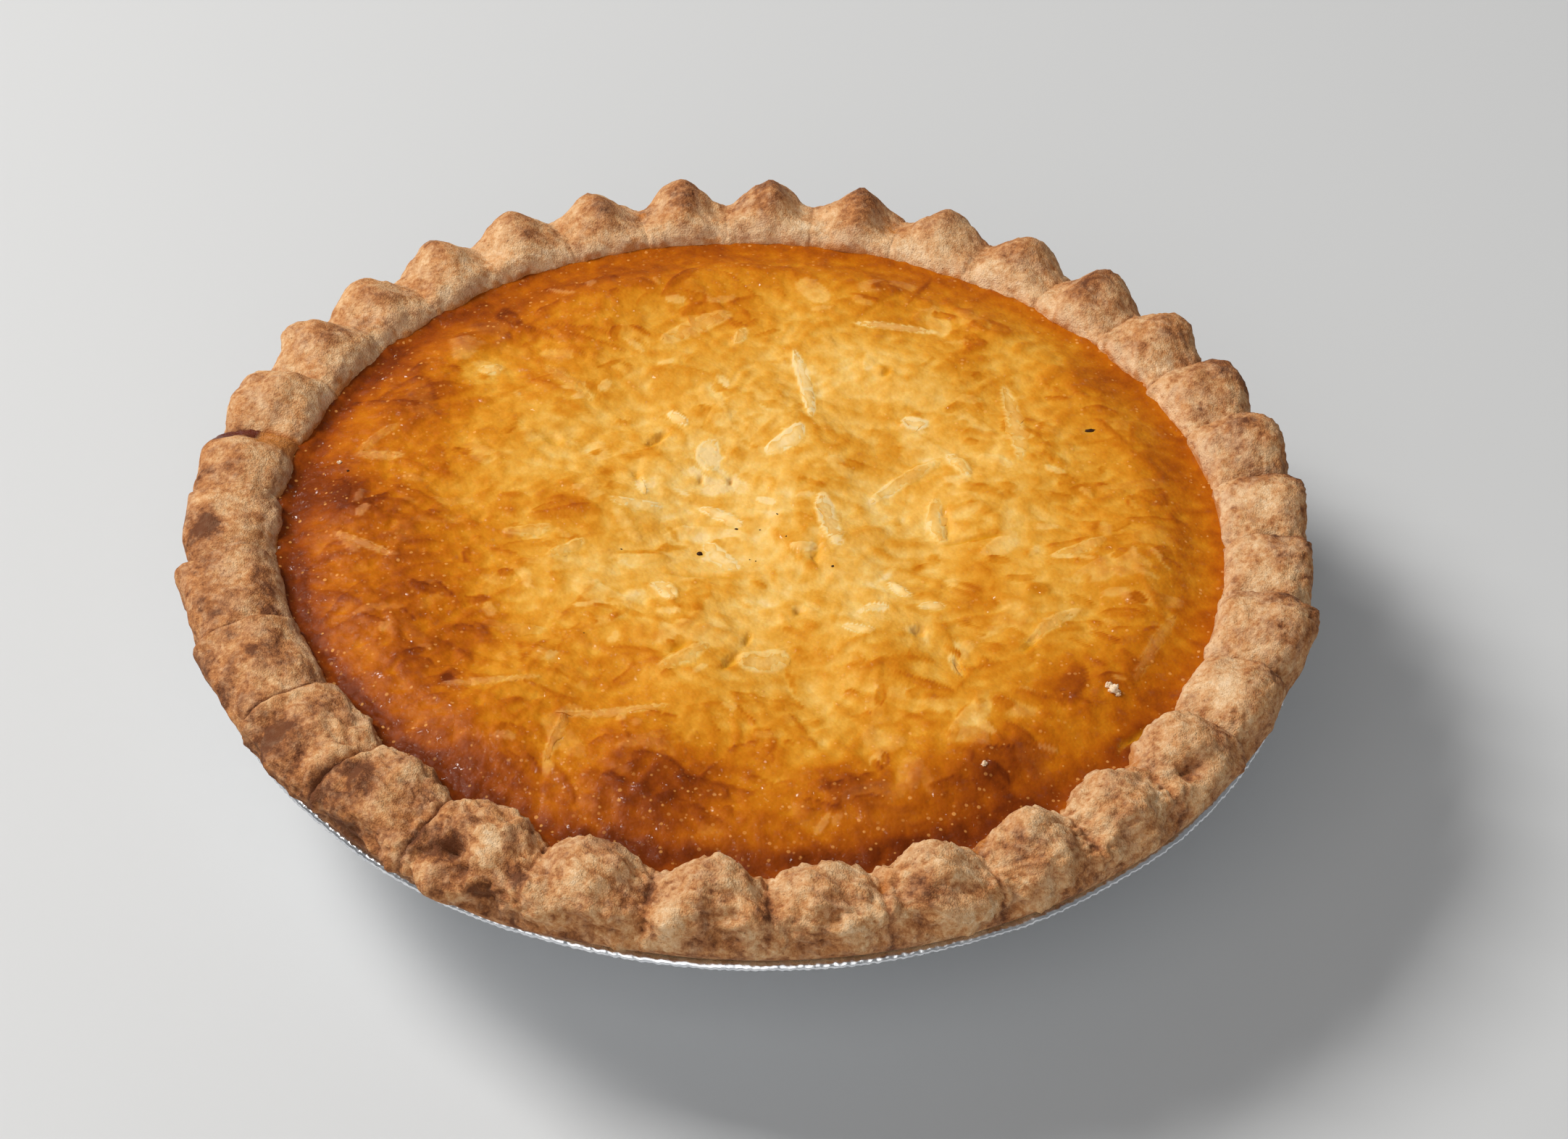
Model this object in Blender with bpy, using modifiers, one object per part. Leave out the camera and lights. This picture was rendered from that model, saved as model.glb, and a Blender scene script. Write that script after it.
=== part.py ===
# A small coconut custard pie in its foil tin: a fluted pastry shell, a domed baked filling
# with shreds of coconut in its skin, and a pleated foil tin with a rolled edge.
# Metres, +Z up. The origin is the middle of the tin's flat base, and -Y faces the viewer.

import math
import random

import bpy
from mathutils import Vector, noise

MM = 0.001
GAP = 0.3 * MM  # clearance between pieces that touch

# Foil tin
TIN_BASE_R = 50.0 * MM  # flat base
TIN_MOUTH_R = 66.5 * MM  # where the side wall meets the flange
TIN_DEPTH = 25.0 * MM  # underside of the flange
TIN_WALL = 0.5 * MM
TIN_EDGE_R = 74.6 * MM  # middle of the rolled edge
TIN_EDGE_HALF = 0.95 * MM  # half the thickness of the rolled edge
TIN_PLEATS = 60
TIN_PLEAT_DEPTH = 0.35 * MM

# Pastry shell. Its rim is a hump with a section like half an ellipse.
CRUST_THICK = 4.2 * MM  # under the filling
RIM_MID_R = 70.1 * MM
RIM_HALF_WIDTH = 5.9 * MM
RIM_LEVEL = 28.5 * MM  # height of the section's middle
RIM_SKIRT_DEG = -26.0  # the section ends this far below its middle, on the outside
RIM_STEPS = 10
VALLEY_HEIGHT = 4.1 * MM  # from the section's middle to the top of a valley
RIDGE_HEIGHT = 7.4 * MM  # and to the top of a flute

# Flutes: pinched ridges round the rim. They stand up at the back and the right, lie flat on
# the left, and slumped into bumps at the front.
FLUTES = 33
STEPS_PER_FLUTE = 6
FLUTE_START_DEG = 3.0
FLUTE_DRIFT_DEG = {1: (3.8, 120.0), 2: (1.4, -113.0)}  # uneven pinching: waves a turn, size, phase
FLUTE_UNEVEN = 0.55 * MM
FLAT_AT = math.radians(203.0)  # where the flutes lie flat
FLAT_HALF = math.radians(36.0)
FLAT_SHARE = 0.72
RIGHT_AT = math.radians(0.0)  # where they are a little lower
RIGHT_HALF = math.radians(32.0)
RIGHT_SHARE = 0.25
FRONT_SHARE = 0.12  # how much of their height the flutes lost at the front
REACH = 1.7 * MM  # a flute out beyond the valleys
REACH_BACK = 0.9 * MM  # more than that at the back
CREST_OUT = 1.5 * MM  # at the back the crest is higher on the outside
CREST_IN = 1.1 * MM  # at the front it is higher on the inside
FRONT_BAY = 1.5 * MM  # at the front the filling runs out between the flutes
WIDE_AT = math.radians(224.0)  # at the front left the rim is wider, towards the filling
WIDE_HALF = math.radians(22.0)
WIDE_REACH = 1.4 * MM
LEAN_OUT = 1.5 * MM  # the rim overhangs the tin on the left
LEAN_AT = math.radians(188.0)
CRAG = 0.34 * MM  # roughness of the baked surface
CRAG_FRONT = 1.2  # this much more on the outer side at the front, where it is flaky
CRAG_SCALE = 4.6 * MM

# Places where the rim is hurt: angle, section angle, radius of the dent and its depth
DENTS = {
    "flaky break": (242.0, 52.0, 3.6, 2.2),
    "flaky break, lower": (246.5, 20.0, 3.2, 1.5),
    "front pit": (321.5, 52.0, 2.8, 2.0),
}
SEAM_AT = math.radians(169.0)  # the crease that split and let filling out
SEAM_HALF_WIDTH = math.radians(1.9)
SEAM_DEPTH = 1.6 * MM
LIP_AT = math.radians(345.5)  # the flute that stands out furthest
LIP_HALF = math.radians(4.2)
LIP_REACH = 1.9 * MM
LIP_RISE = 0.7 * MM
SLUMP_AT = math.radians(246.0)  # the broken pastry sags out over the tin
SLUMP_HALF = math.radians(9.0)
SLUMP_REACH = 1.2 * MM

# Filling
FILL_R = 63.7 * MM
FILL_EDGE_Z = 31.3 * MM
FILL_RISE = 2.0 * MM  # from the edge to the ridge inside it
FILL_SHOULDER = 10.0 * MM  # width over which it rises
FILL_SINK = 0.9 * MM  # the cooled middle
FILL_SINK_R = 24.0 * MM
FILL_LUMP = 0.55 * MM
FILL_LUMP_SCALE = 15.0 * MM
FILL_STEPS = 4 * FLUTES
FILL_RINGS = (0.0, 0.27, 0.5, 0.68, 0.8, 0.89, 0.95)  # as a share of its radius
BLISTERS = {  # blown up and browned: x, y, radius and height in mm
    "left": (-57.0, 4.0, 5.0, 0.5),
    "back left": (-48.0, 21.0, 6.0, 0.4),
    "front left": (-34.0, -47.0, 8.0, 0.6),
    "front": (-15.0, -48.0, 8.0, 0.9),
    "front ring": (14.0, -49.0, 3.5, 0.5),
    "front right": (35.0, -44.0, 8.0, 0.7),
    "right": (57.0, 25.0, 6.0, 0.4),
}

# Coconut shreds in the skin of the filling
LONG_SHREDS = {  # the longest, which show best: x and y in mm, heading in degrees, length in mm
    "back, across": (18.0, 43.0, -4.0, 13.0),
    "back, upright": (6.0, 31.0, 105.0, 15.0),
    "right, upright": (36.0, 23.0, 97.0, 17.0),
    "middle": (10.0, 2.0, 86.0, 12.0),
    "middle, leaf": (4.0, 16.0, 35.0, 8.0),
    "left": (-52.0, -8.0, -33.0, 11.0),
    "front left": (-30.0, -23.0, 4.0, 10.0),
    "front left, long": (-33.0, -33.0, 12.0, 14.0),
}
SHREDS = 34
SHRED_LENGTH = (5.5 * MM, 10.0 * MM)
SHRED_WIDTH = (1.4 * MM, 2.6 * MM)
SHRED_PROUD = 0.7 * MM
SHRED_TILT = 0.35 * MM  # one long edge stands up by this, and the other is sunk by it
SHRED_SUNK = 0.8 * MM
SHRED_EDGE_CLEAR = 4.0 * MM
SEED = 11


def smooth(t):
    """0 to 1 with a soft start and end."""
    t = min(max(t, 0.0), 1.0)
    return t * t * (3.0 - 2.0 * t)


def angle_between(a, b):
    """The signed angle from b to a, within half a turn."""
    return (a - b + math.pi) % (2.0 * math.pi) - math.pi


def clear_scene():
    for old in list(bpy.data.objects):
        bpy.data.objects.remove(old)
    for old in list(bpy.data.meshes):
        bpy.data.meshes.remove(old)


def collection_named(name):
    made = bpy.data.collections.new(name)
    bpy.context.scene.collection.children.link(made)
    return made


def finish_material(name, colour, roughness, metallic=0.0):
    material = bpy.data.materials.new(name)
    material.use_nodes = True
    shader = material.node_tree.nodes["Principled BSDF"]
    shader.inputs["Base Color"].default_value = (*colour, 1.0)
    shader.inputs["Roughness"].default_value = roughness
    shader.inputs["Metallic"].default_value = metallic
    material.diffuse_color = (*colour, 1.0)
    return material


def turned(name, profile, steps, collection):
    """A solid of revolution: the profile, from the axis on top to the axis below, on a Screw modifier."""
    mesh = bpy.data.meshes.new(name + "_profile")
    edges = [(i, i + 1) for i in range(len(profile) - 1)]
    mesh.from_pydata([(r, 0.0, z) for r, z in profile], edges, [])
    guide = bpy.data.objects.new(name + "_profile", mesh)
    collection.objects.link(guide)
    screw = guide.modifiers.new("turn", "SCREW")
    screw.steps = screw.render_steps = steps
    screw.use_merge_vertices = True
    screw.merge_threshold = 0.0001 * MM
    bpy.context.view_layer.update()
    graph = bpy.context.evaluated_depsgraph_get()
    made = bpy.data.meshes.new_from_object(guide.evaluated_get(graph))
    made.name = name
    bpy.data.objects.remove(guide)
    bpy.data.meshes.remove(mesh)
    piece = bpy.data.objects.new(name, made)
    collection.objects.link(piece)
    return piece


def reshape(piece, move):
    """Moves every vertex by a rule from its radius, angle and height to new ones."""
    for vertex in piece.data.vertices:
        x, y, z = vertex.co
        r, angle, z = move(math.hypot(x, y), math.atan2(y, x), z)
        vertex.co = (r * math.cos(angle), r * math.sin(angle), z)
    piece.data.update()


# Foil tin


def tin_profile():
    inner_base = TIN_BASE_R - TIN_WALL
    inner_mouth = TIN_MOUTH_R - TIN_WALL * 0.8
    top = TIN_DEPTH + TIN_WALL
    bead = [
        (
            TIN_EDGE_R + TIN_EDGE_HALF * math.cos(math.radians(a)),
            TIN_DEPTH + TIN_EDGE_HALF * (math.sin(math.radians(a)) * 0.8 - 0.2),
        )
        for a in (100.0, 10.0, -80.0)
    ]
    return [
        (0.0, TIN_WALL),
        (inner_base, TIN_WALL),
        (inner_mouth, top),
        (TIN_EDGE_R - 2.2 * TIN_EDGE_HALF, top),
        *bead,
        (TIN_EDGE_R - 2.2 * TIN_EDGE_HALF, TIN_DEPTH),
        (TIN_MOUTH_R, TIN_DEPTH),
        (TIN_BASE_R + 0.6 * MM, 1.0 * MM),
        (TIN_BASE_R - 0.6 * MM, 0.0),
        (0.0, 0.0),
    ]


def pleat_tin(r, angle, z):
    """Pushes the side wall in and out, and the flange up and down, from one pleat to the next."""
    side = math.cos(TIN_PLEATS * angle)
    on_wall = smooth((z - 2.0 * MM) / (8.0 * MM))
    on_flange = smooth((r - TIN_MOUTH_R) / (3.0 * MM))
    r += TIN_PLEAT_DEPTH * side * on_wall * (1.0 - on_flange)
    z += 0.5 * TIN_PLEAT_DEPTH * side * on_flange
    return r, angle, z


def make_tin(collection):
    tin = turned("foil_tin", tin_profile(), 2 * TIN_PLEATS, collection)
    reshape(tin, pleat_tin)
    tin.data.materials.append(finish_material("foil", (0.80, 0.81, 0.83), 0.28, 1.0))
    return tin


# Pastry shell


def crust_profile():
    floor_top = TIN_WALL + GAP + CRUST_THICK
    clear = TIN_PLEAT_DEPTH + GAP + TIN_WALL
    hump = []
    for i in range(RIM_STEPS + 1):
        a = math.radians(180.0 + (RIM_SKIRT_DEG - 180.0) * i / RIM_STEPS)
        r = RIM_MID_R + RIM_HALF_WIDTH * math.cos(a)
        hump.append((r, RIM_LEVEL + VALLEY_HEIGHT * math.sin(a)))
    flange_top = TIN_DEPTH + clear - 0.05 * MM
    return [
        (0.0, floor_top),
        (TIN_BASE_R - 3.6 * MM, floor_top),
        *hump,
        (TIN_EDGE_R - 1.0 * MM, flange_top),
        (TIN_MOUTH_R - clear * 1.1, flange_top),
        (TIN_BASE_R - clear * 1.2, TIN_WALL + GAP),
        (0.0, TIN_WALL + GAP),
    ]


def bump(angle, at, half, power=2):
    """1 at one angle of the rim, dying away over the given half-width."""
    return math.exp(-(abs(angle_between(angle, at) / half) ** power))


def share_back(angle):
    return smooth((math.sin(angle) + 0.15) / 1.0)


def share_front(angle):
    return smooth((-math.sin(angle) - 0.35) / 0.45)


def pinch(angle):
    """How strongly the rim was pinched here: 1 where the flutes stand up in full."""
    flat = FLAT_SHARE * bump(angle, FLAT_AT, FLAT_HALF, 4)
    low = RIGHT_SHARE * bump(angle, RIGHT_AT, RIGHT_HALF)
    return (1.0 - flat) * (1.0 - low) * (1.0 - FRONT_SHARE * share_front(angle))


def fluted(angle):
    """The unevenly spaced angle that an evenly spaced one comes to lie at."""
    drift = FLUTE_START_DEG
    for waves, (size, phase) in FLUTE_DRIFT_DEG.items():
        drift += size * math.sin(waves * angle + math.radians(phase))
    return angle + math.radians(drift)


def flute_sizes():
    """How much higher each flute stands, and how much further out it reaches, than the usual flute."""
    draw = random.Random(SEED)
    return [
        (draw.uniform(-1.0, 1.0) * FLUTE_UNEVEN, draw.uniform(-1.0, 1.0) * FLUTE_UNEVEN)
        for _ in range(FLUTES)
    ]


def ridge_at(turn, angle):
    """1 along the top of a flute and 0 in the crease between two: peaks at the back, pillows elsewhere."""
    sharpness = 1.0 + 0.95 * share_back(angle) + 0.35 * share_front(angle)
    return abs(math.cos(math.pi * turn)) ** sharpness


def edge_shift(turn, angle):
    """How far the edge between filling and crust lies outside its circle: out between the flutes
    at the front, and in where the rim is wide."""
    bay = FRONT_BAY * share_front(angle) * (1.0 - ridge_at(turn, angle))
    return bay - WIDE_REACH * bump(angle, WIDE_AT, WIDE_HALF)


def dent_depth(angle, section):
    """How far the rim is pushed in at this angle and place on its section."""
    depth = 0.0
    for dent_angle, dent_section, radius, most in DENTS.values():
        along = angle_between(angle, math.radians(dent_angle)) * RIM_MID_R / MM
        across = (section - math.radians(dent_section)) * RIM_HALF_WIDTH / MM
        depth += most * MM * math.exp(-(along**2 + across**2) / (radius**2 * 0.5))
    return depth


def flute_crust(r, angle, z):
    """Pinches the turned rim into flutes, leans and roughens it, and adds its dents and its split crease."""
    turn = angle % (2.0 * math.pi) * FLUTES / (2.0 * math.pi)
    higher, further = SIZES[int(round(turn)) % FLUTES]
    angle = fluted(angle)
    if r < RIM_MID_R - RIM_HALF_WIDTH - 0.1 * MM or z < TIN_DEPTH + 1.5 * MM:
        return r, angle, z
    section = math.atan2(
        (z - RIM_LEVEL) / VALLEY_HEIGHT, (r - RIM_MID_R) / RIM_HALF_WIDTH
    )
    ridge = ridge_at(turn, angle)
    pinched = pinch(angle)
    over = max(0.0, math.sin(section))
    outside = smooth(math.cos(section))
    above = smooth((math.degrees(section) + 30.0) / 60.0)
    if section > 0.0:
        rise = (RIDGE_HEIGHT - VALLEY_HEIGHT) * (1.0 + 0.45 * (pinched - 1.0)) + higher
        sunk = (RIDGE_HEIGHT - VALLEY_HEIGHT + higher) * pinched * (1.0 - ridge)
        z = RIM_LEVEL + (VALLEY_HEIGHT + rise - sunk) * over**0.75
        z += LIP_RISE * bump(angle, LIP_AT, LIP_HALF, 4) * over
        crest = CREST_OUT * share_back(angle) - CREST_IN * share_front(angle)
        z += crest * ridge * over * math.cos(section)
        r += edge_shift(turn, angle) * smooth(-math.cos(section) * 1.6)
    reach = (REACH + further + REACH_BACK * share_back(angle)) * pinched
    r += reach * (ridge - 0.45) * outside * above
    r += LEAN_OUT * max(0.0, math.cos(angle - LEAN_AT)) * outside * above
    r += LIP_REACH * bump(angle, LIP_AT, LIP_HALF, 4) * outside * above
    r += SLUMP_REACH * bump(angle, SLUMP_AT, SLUMP_HALF) * outside
    here = Vector((r * math.cos(angle), r * math.sin(angle), z))
    crag = CRAG * (1.0 + CRAG_FRONT * share_front(angle) * outside)
    push = crag * noise.noise(here / CRAG_SCALE) * 2.0 * max(over, outside * above)
    push -= dent_depth(angle, section)
    push -= SEAM_DEPTH * bump(angle, SEAM_AT, SEAM_HALF_WIDTH) * over
    return r + push * math.cos(section), angle, z + push * math.sin(section)


def make_crust(collection):
    crust = turned("crust", crust_profile(), FLUTES * STEPS_PER_FLUTE, collection)
    reshape(crust, flute_crust)
    crust.data.materials.append(
        finish_material("baked_pastry", (0.62, 0.37, 0.18), 0.72)
    )
    return crust


# Filling


def filling_top(r, angle):
    """Height of the filling's skin: low at its edge, then a soft ridge, and a sunken middle."""
    x, y = r * math.cos(angle), r * math.sin(angle)
    inside = smooth((FILL_R - r) / FILL_SHOULDER)
    lump = noise.noise(Vector((x, y, 0.0)) / FILL_LUMP_SCALE) * 2.0
    z = FILL_EDGE_Z + (FILL_RISE + FILL_LUMP * lump) * inside
    z -= FILL_SINK * math.exp(-((r / FILL_SINK_R) ** 2))
    for at_x, at_y, radius, height in BLISTERS.values():
        away = math.hypot(x - at_x * MM, y - at_y * MM) / (radius * MM)
        z += height * MM * math.exp(-(away**2)) * inside
    return z


def filling_profile():
    bottom = TIN_WALL + GAP + CRUST_THICK + GAP
    return [
        *[(FILL_R * share, FILL_EDGE_Z) for share in FILL_RINGS],
        (FILL_R - 1.5 * MM, FILL_EDGE_Z),
        (FILL_R, FILL_EDGE_Z - 0.4 * MM),
        (FILL_R - 0.1 * MM, RIM_LEVEL - 0.3 * MM),
        (TIN_BASE_R - 4.5 * MM, bottom),
        (0.0, bottom),
    ]


def dome_filling(r, angle, z):
    """Domes the skin and shifts its edge as the crust's is."""
    turn = angle % (2.0 * math.pi) * FLUTES / (2.0 * math.pi)
    angle = fluted(angle)
    if z > FILL_EDGE_Z - 0.1 * MM:
        z = filling_top(r, angle)
    if z > RIM_LEVEL - 1.0 * MM:
        shift = edge_shift(turn, angle)
        shift *= 0.85 if shift > 0.0 else 1.1
        r += shift * smooth((r - FILL_R) / (4.0 * MM) + 1.0)
    return r, angle, z


def shred_places(draw):
    """Where each shred lies: its middle, heading and length. The longest come first."""
    for x, y, heading, length in LONG_SHREDS.values():
        yield Vector((x * MM, y * MM, 0.0)), math.radians(heading), length * MM
    for _ in range(SHREDS):
        length = draw.uniform(*SHRED_LENGTH)
        reach = FILL_R - SHRED_EDGE_CLEAR - 0.5 * length
        at_r = reach * math.sqrt(draw.random())
        at_angle = draw.uniform(0.0, 2.0 * math.pi)
        middle = Vector((at_r * math.cos(at_angle), at_r * math.sin(at_angle), 0.0))
        yield middle, draw.uniform(0.0, math.pi), length


def make_shred(name, middle, heading, length, draw, collection):
    """One flat, tapered, curved shred, bent so that it follows the filling's skin."""
    width = draw.uniform(*SHRED_WIDTH)
    bow = draw.uniform(-0.5, 0.5) * width
    tilt = draw.choice((-1.0, 1.0)) * SHRED_TILT
    bpy.ops.mesh.primitive_grid_add(x_subdivisions=3, y_subdivisions=1, size=1.0)
    shred = bpy.context.object
    shred.name = name
    for other in list(shred.users_collection):
        other.objects.unlink(shred)
    collection.objects.link(shred)
    along = Vector((math.cos(heading), math.sin(heading), 0.0))
    across = Vector((-along.y, along.x, 0.0))
    for vertex in shred.data.vertices:
        u, v, _ = vertex.co * 2.0
        taper = 1.0 - 0.45 * u * u
        place = middle + along * (u * length / 2)
        place += across * (v * width / 2 * taper + bow * (u * u - 0.4))
        skin = filling_top(math.hypot(place.x, place.y), math.atan2(place.y, place.x))
        proud = SHRED_PROUD * (1.0 - 0.5 * u * u) + tilt * v
        vertex.co = (place.x, place.y, skin + proud)
    thick = shred.modifiers.new("thickness", "SOLIDIFY")
    thick.thickness = SHRED_SUNK + SHRED_PROUD
    thick.offset = -1.0
    return shred


def make_filling(collection):
    filling = turned("filling", filling_profile(), FILL_STEPS, collection)
    reshape(filling, dome_filling)
    shreds = collection_named("shreds")
    draw = random.Random(SEED)
    for i, (middle, heading, length) in enumerate(list(shred_places(draw))):
        make_shred(f"shred_{i}", middle, heading, length, draw, shreds)
    join = filling.modifiers.new("shreds", "BOOLEAN")
    join.operation = "UNION"
    join.operand_type = "COLLECTION"
    join.collection = shreds
    join.solver = "MANIFOLD"
    bpy.context.view_layer.update()
    graph = bpy.context.evaluated_depsgraph_get()
    joined = bpy.data.meshes.new_from_object(filling.evaluated_get(graph))
    filling.modifiers.clear()
    filling.data = joined
    for shred in list(shreds.objects):
        bpy.data.objects.remove(shred)
    bpy.data.collections.remove(shreds)
    filling.data.materials.clear()
    filling.data.materials.append(
        finish_material("baked_custard", (0.78, 0.47, 0.12), 0.42)
    )
    return filling


SIZES = flute_sizes()


def main():
    clear_scene()
    pie = collection_named("coconut_pie")
    for piece in (make_tin(pie), make_crust(pie), make_filling(pie)):
        piece.data.shade_smooth()
        piece.data.set_sharp_from_angle(angle=math.radians(42.0))


main()
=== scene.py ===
# %% [markdown]
# A coconut custard pie, small enough for one person and still in the foil tin it was baked in.
# Its plain solids are the frame of this file: a fluted pastry shell, a domed filling and a tin.
# The cells below dress each of them with the relief and the colours of real baking. Everything
# is in metres, the origin is the middle of the tin's base, and -Y faces the viewer.

# %% Load the solids and keep their box
import math
import random

import bmesh
import bpy
import numpy as np
from mathutils import Matrix, Vector, noise


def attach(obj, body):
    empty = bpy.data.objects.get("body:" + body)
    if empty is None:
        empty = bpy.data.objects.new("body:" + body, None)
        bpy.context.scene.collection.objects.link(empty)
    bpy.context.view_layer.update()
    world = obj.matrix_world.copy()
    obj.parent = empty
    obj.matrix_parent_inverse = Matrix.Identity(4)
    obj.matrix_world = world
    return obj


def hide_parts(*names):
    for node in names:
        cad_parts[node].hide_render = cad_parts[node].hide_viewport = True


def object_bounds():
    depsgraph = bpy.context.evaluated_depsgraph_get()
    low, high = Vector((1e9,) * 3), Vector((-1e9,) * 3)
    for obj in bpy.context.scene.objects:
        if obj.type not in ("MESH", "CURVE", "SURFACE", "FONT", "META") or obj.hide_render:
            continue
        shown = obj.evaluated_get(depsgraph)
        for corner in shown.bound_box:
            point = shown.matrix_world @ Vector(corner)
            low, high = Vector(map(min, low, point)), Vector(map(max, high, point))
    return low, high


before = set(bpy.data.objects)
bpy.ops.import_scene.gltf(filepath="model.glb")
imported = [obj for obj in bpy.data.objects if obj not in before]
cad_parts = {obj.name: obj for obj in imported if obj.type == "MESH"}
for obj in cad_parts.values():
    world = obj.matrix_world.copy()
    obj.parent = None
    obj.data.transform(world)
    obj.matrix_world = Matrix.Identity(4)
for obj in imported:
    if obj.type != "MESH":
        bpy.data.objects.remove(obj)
solids_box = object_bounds()
solids_size = [round(1000 * (high - low), 1) for low, high in zip(*solids_box)]
print("solids:", sorted(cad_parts), solids_size, "mm")

# %% [markdown]
# Sizes that the solids were drawn with. A dressed piece starts from the same numbers, so that
# the flutes, the tin and the dome lie exactly where the plain ones do.

# %% Sizes shared with the solids
MM = 0.001
TIN_BASE_R = 50.0 * MM
TIN_MOUTH_R = 66.5 * MM
TIN_DEPTH = 25.0 * MM
TIN_EDGE_R = 74.6 * MM
TIN_PLEATS = 60
TIN_PLEAT_DEPTH = 0.35 * MM
RIM_MID_R = 70.1 * MM
RIM_HALF_WIDTH = 5.9 * MM
RIM_LEVEL = 28.5 * MM
RIM_SKIRT_DEG = -26.0
VALLEY_HEIGHT = 4.1 * MM
RIDGE_HEIGHT = 7.4 * MM
FLUTES = 33
FLUTE_DRIFT = 0.55 * MM
FILL_R = 63.7 * MM
FILL_EDGE_Z = 31.3 * MM
SEED = 11
print("rim", round(2000 * TIN_EDGE_R), "mm across,", FLUTES, "flutes")

# %% [markdown]
# A few small tools. They take whole arrays of points at once, because a baked surface needs
# some tens of thousands of them. The noise is Blender's own, so it is the same every time.

# %% Helpers for soft shapes and noise
def smooth(t):
    """0 to 1 with a soft start and end."""
    t = np.clip(t, 0.0, 1.0)
    return t * t * (3.0 - 2.0 * t)


def hump(t):
    """1 at 0, dying away softly on both sides."""
    return np.exp(-(t**2))


def bump(angle, at_deg, half_deg, power=2):
    """1 at one angle of the rim, dying away over the given half-width."""
    away = (angle - math.radians(at_deg) + math.pi) % (2.0 * math.pi) - math.pi
    return np.exp(-(np.abs(away / math.radians(half_deg)) ** power))


def cloudy(x, y, z, size, seed=0):
    """Soft noise, about -1 to 1, whose lumps are this many metres wide."""
    x, y, z = np.broadcast_arrays(x, y, z)
    points = np.stack([x, y, z], axis=-1).reshape(-1, 3) / size + seed * 17.3
    lumps = [noise.noise(point) for point in points.tolist()]
    return 2.0 * np.array(lumps).reshape(x.shape)


def round_the_pie(r, angle, z):
    """Points from their distance to the middle of the pie, their angle and their height."""
    return np.stack(np.broadcast_arrays(r * np.cos(angle), r * np.sin(angle), z), axis=-1)


def oval(x, y, at_x, at_y, half_x, half_y, heading_deg):
    """How far points lie from the middle of an oval, along and across it, with its edge at 1."""
    turn = math.radians(heading_deg)
    dx, dy = x - at_x * MM, y - at_y * MM
    along = (math.cos(turn) * dx + math.sin(turn) * dy) / (half_x * MM)
    across = (-math.sin(turn) * dx + math.cos(turn) * dy) / (half_y * MM)
    return along, across


def sheet_faces(index):
    """The quads of a grid of points, from the grid of their numbers."""
    quads = np.stack([index[:-1, :-1], index[1:, :-1], index[1:, 1:], index[:-1, 1:]], axis=-1)
    return quads.reshape(-1, 4)


def sheet_border(index):
    """The numbers of a grid's outermost points, once round."""
    return np.concatenate([index[:-1, 0], index[-1, :-1], index[:0:-1, -1], index[0, :0:-1]])


def ring_faces(columns, rows, closed=False):
    """Quads between rows that each run once round the pie, and a cap on the first and last row.

    A closed section joins its last row to its first one and needs no caps.
    """
    found = []
    for i in range(columns):
        j = (i + 1) % columns
        for k in range(rows if closed else rows - 1):
            m = (k + 1) % rows
            found.append((i * rows + k, i * rows + m, j * rows + m, j * rows + k))
    if not closed:
        found.append([i * rows for i in range(columns)])
        found.append([i * rows + rows - 1 for i in range(columns)][::-1])
    return found


def keep_in_box(points):
    """Holds points inside the box of the solids, so that the dressed pie stays within it."""
    low, high = (np.array(corner) for corner in solids_box)
    return np.clip(points, low + 0.02 * MM, high - 0.02 * MM)


def show(name, points, faces, replaced=()):
    """Makes a mesh piece, shades it smooth, hangs it on the root and hides the solids it replaces."""
    mesh = bpy.data.meshes.new(name)
    mesh.from_pydata(keep_in_box(np.asarray(points).reshape(-1, 3)).tolist(), [], faces)
    mesh.shade_smooth()
    piece = bpy.data.objects.new(name, mesh)
    bpy.context.scene.collection.objects.link(piece)
    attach(piece, "root")
    for node in replaced:
        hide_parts(node)
    return piece


def note(piece, name, values):
    """Stores one number per vertex, which a finish can read by its name."""
    layer = piece.data.attributes.new(name, "FLOAT", "POINT")
    layer.data.foreach_set("value", np.asarray(values, dtype=np.float32).ravel())


print("helpers ready")

# %% [markdown]
# Finishes are built from nodes. These helpers add one node at a time and wire it, and turn the
# colours that a screen shows, 0 to 255, into the linear ones that a shader works in. A finish
# carries them along, so a line that uses them reads like a sum. Its sizes are in millimetres.

# %% Helpers for finishes
def linear(red, green, blue):
    """A colour as a screen shows it, made linear for a shader."""
    parts = [c / 255.0 for c in (red, green, blue)]
    return [c / 12.92 if c <= 0.04045 else ((c + 0.055) / 1.055) ** 2.4 for c in parts] + [1.0]


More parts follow.
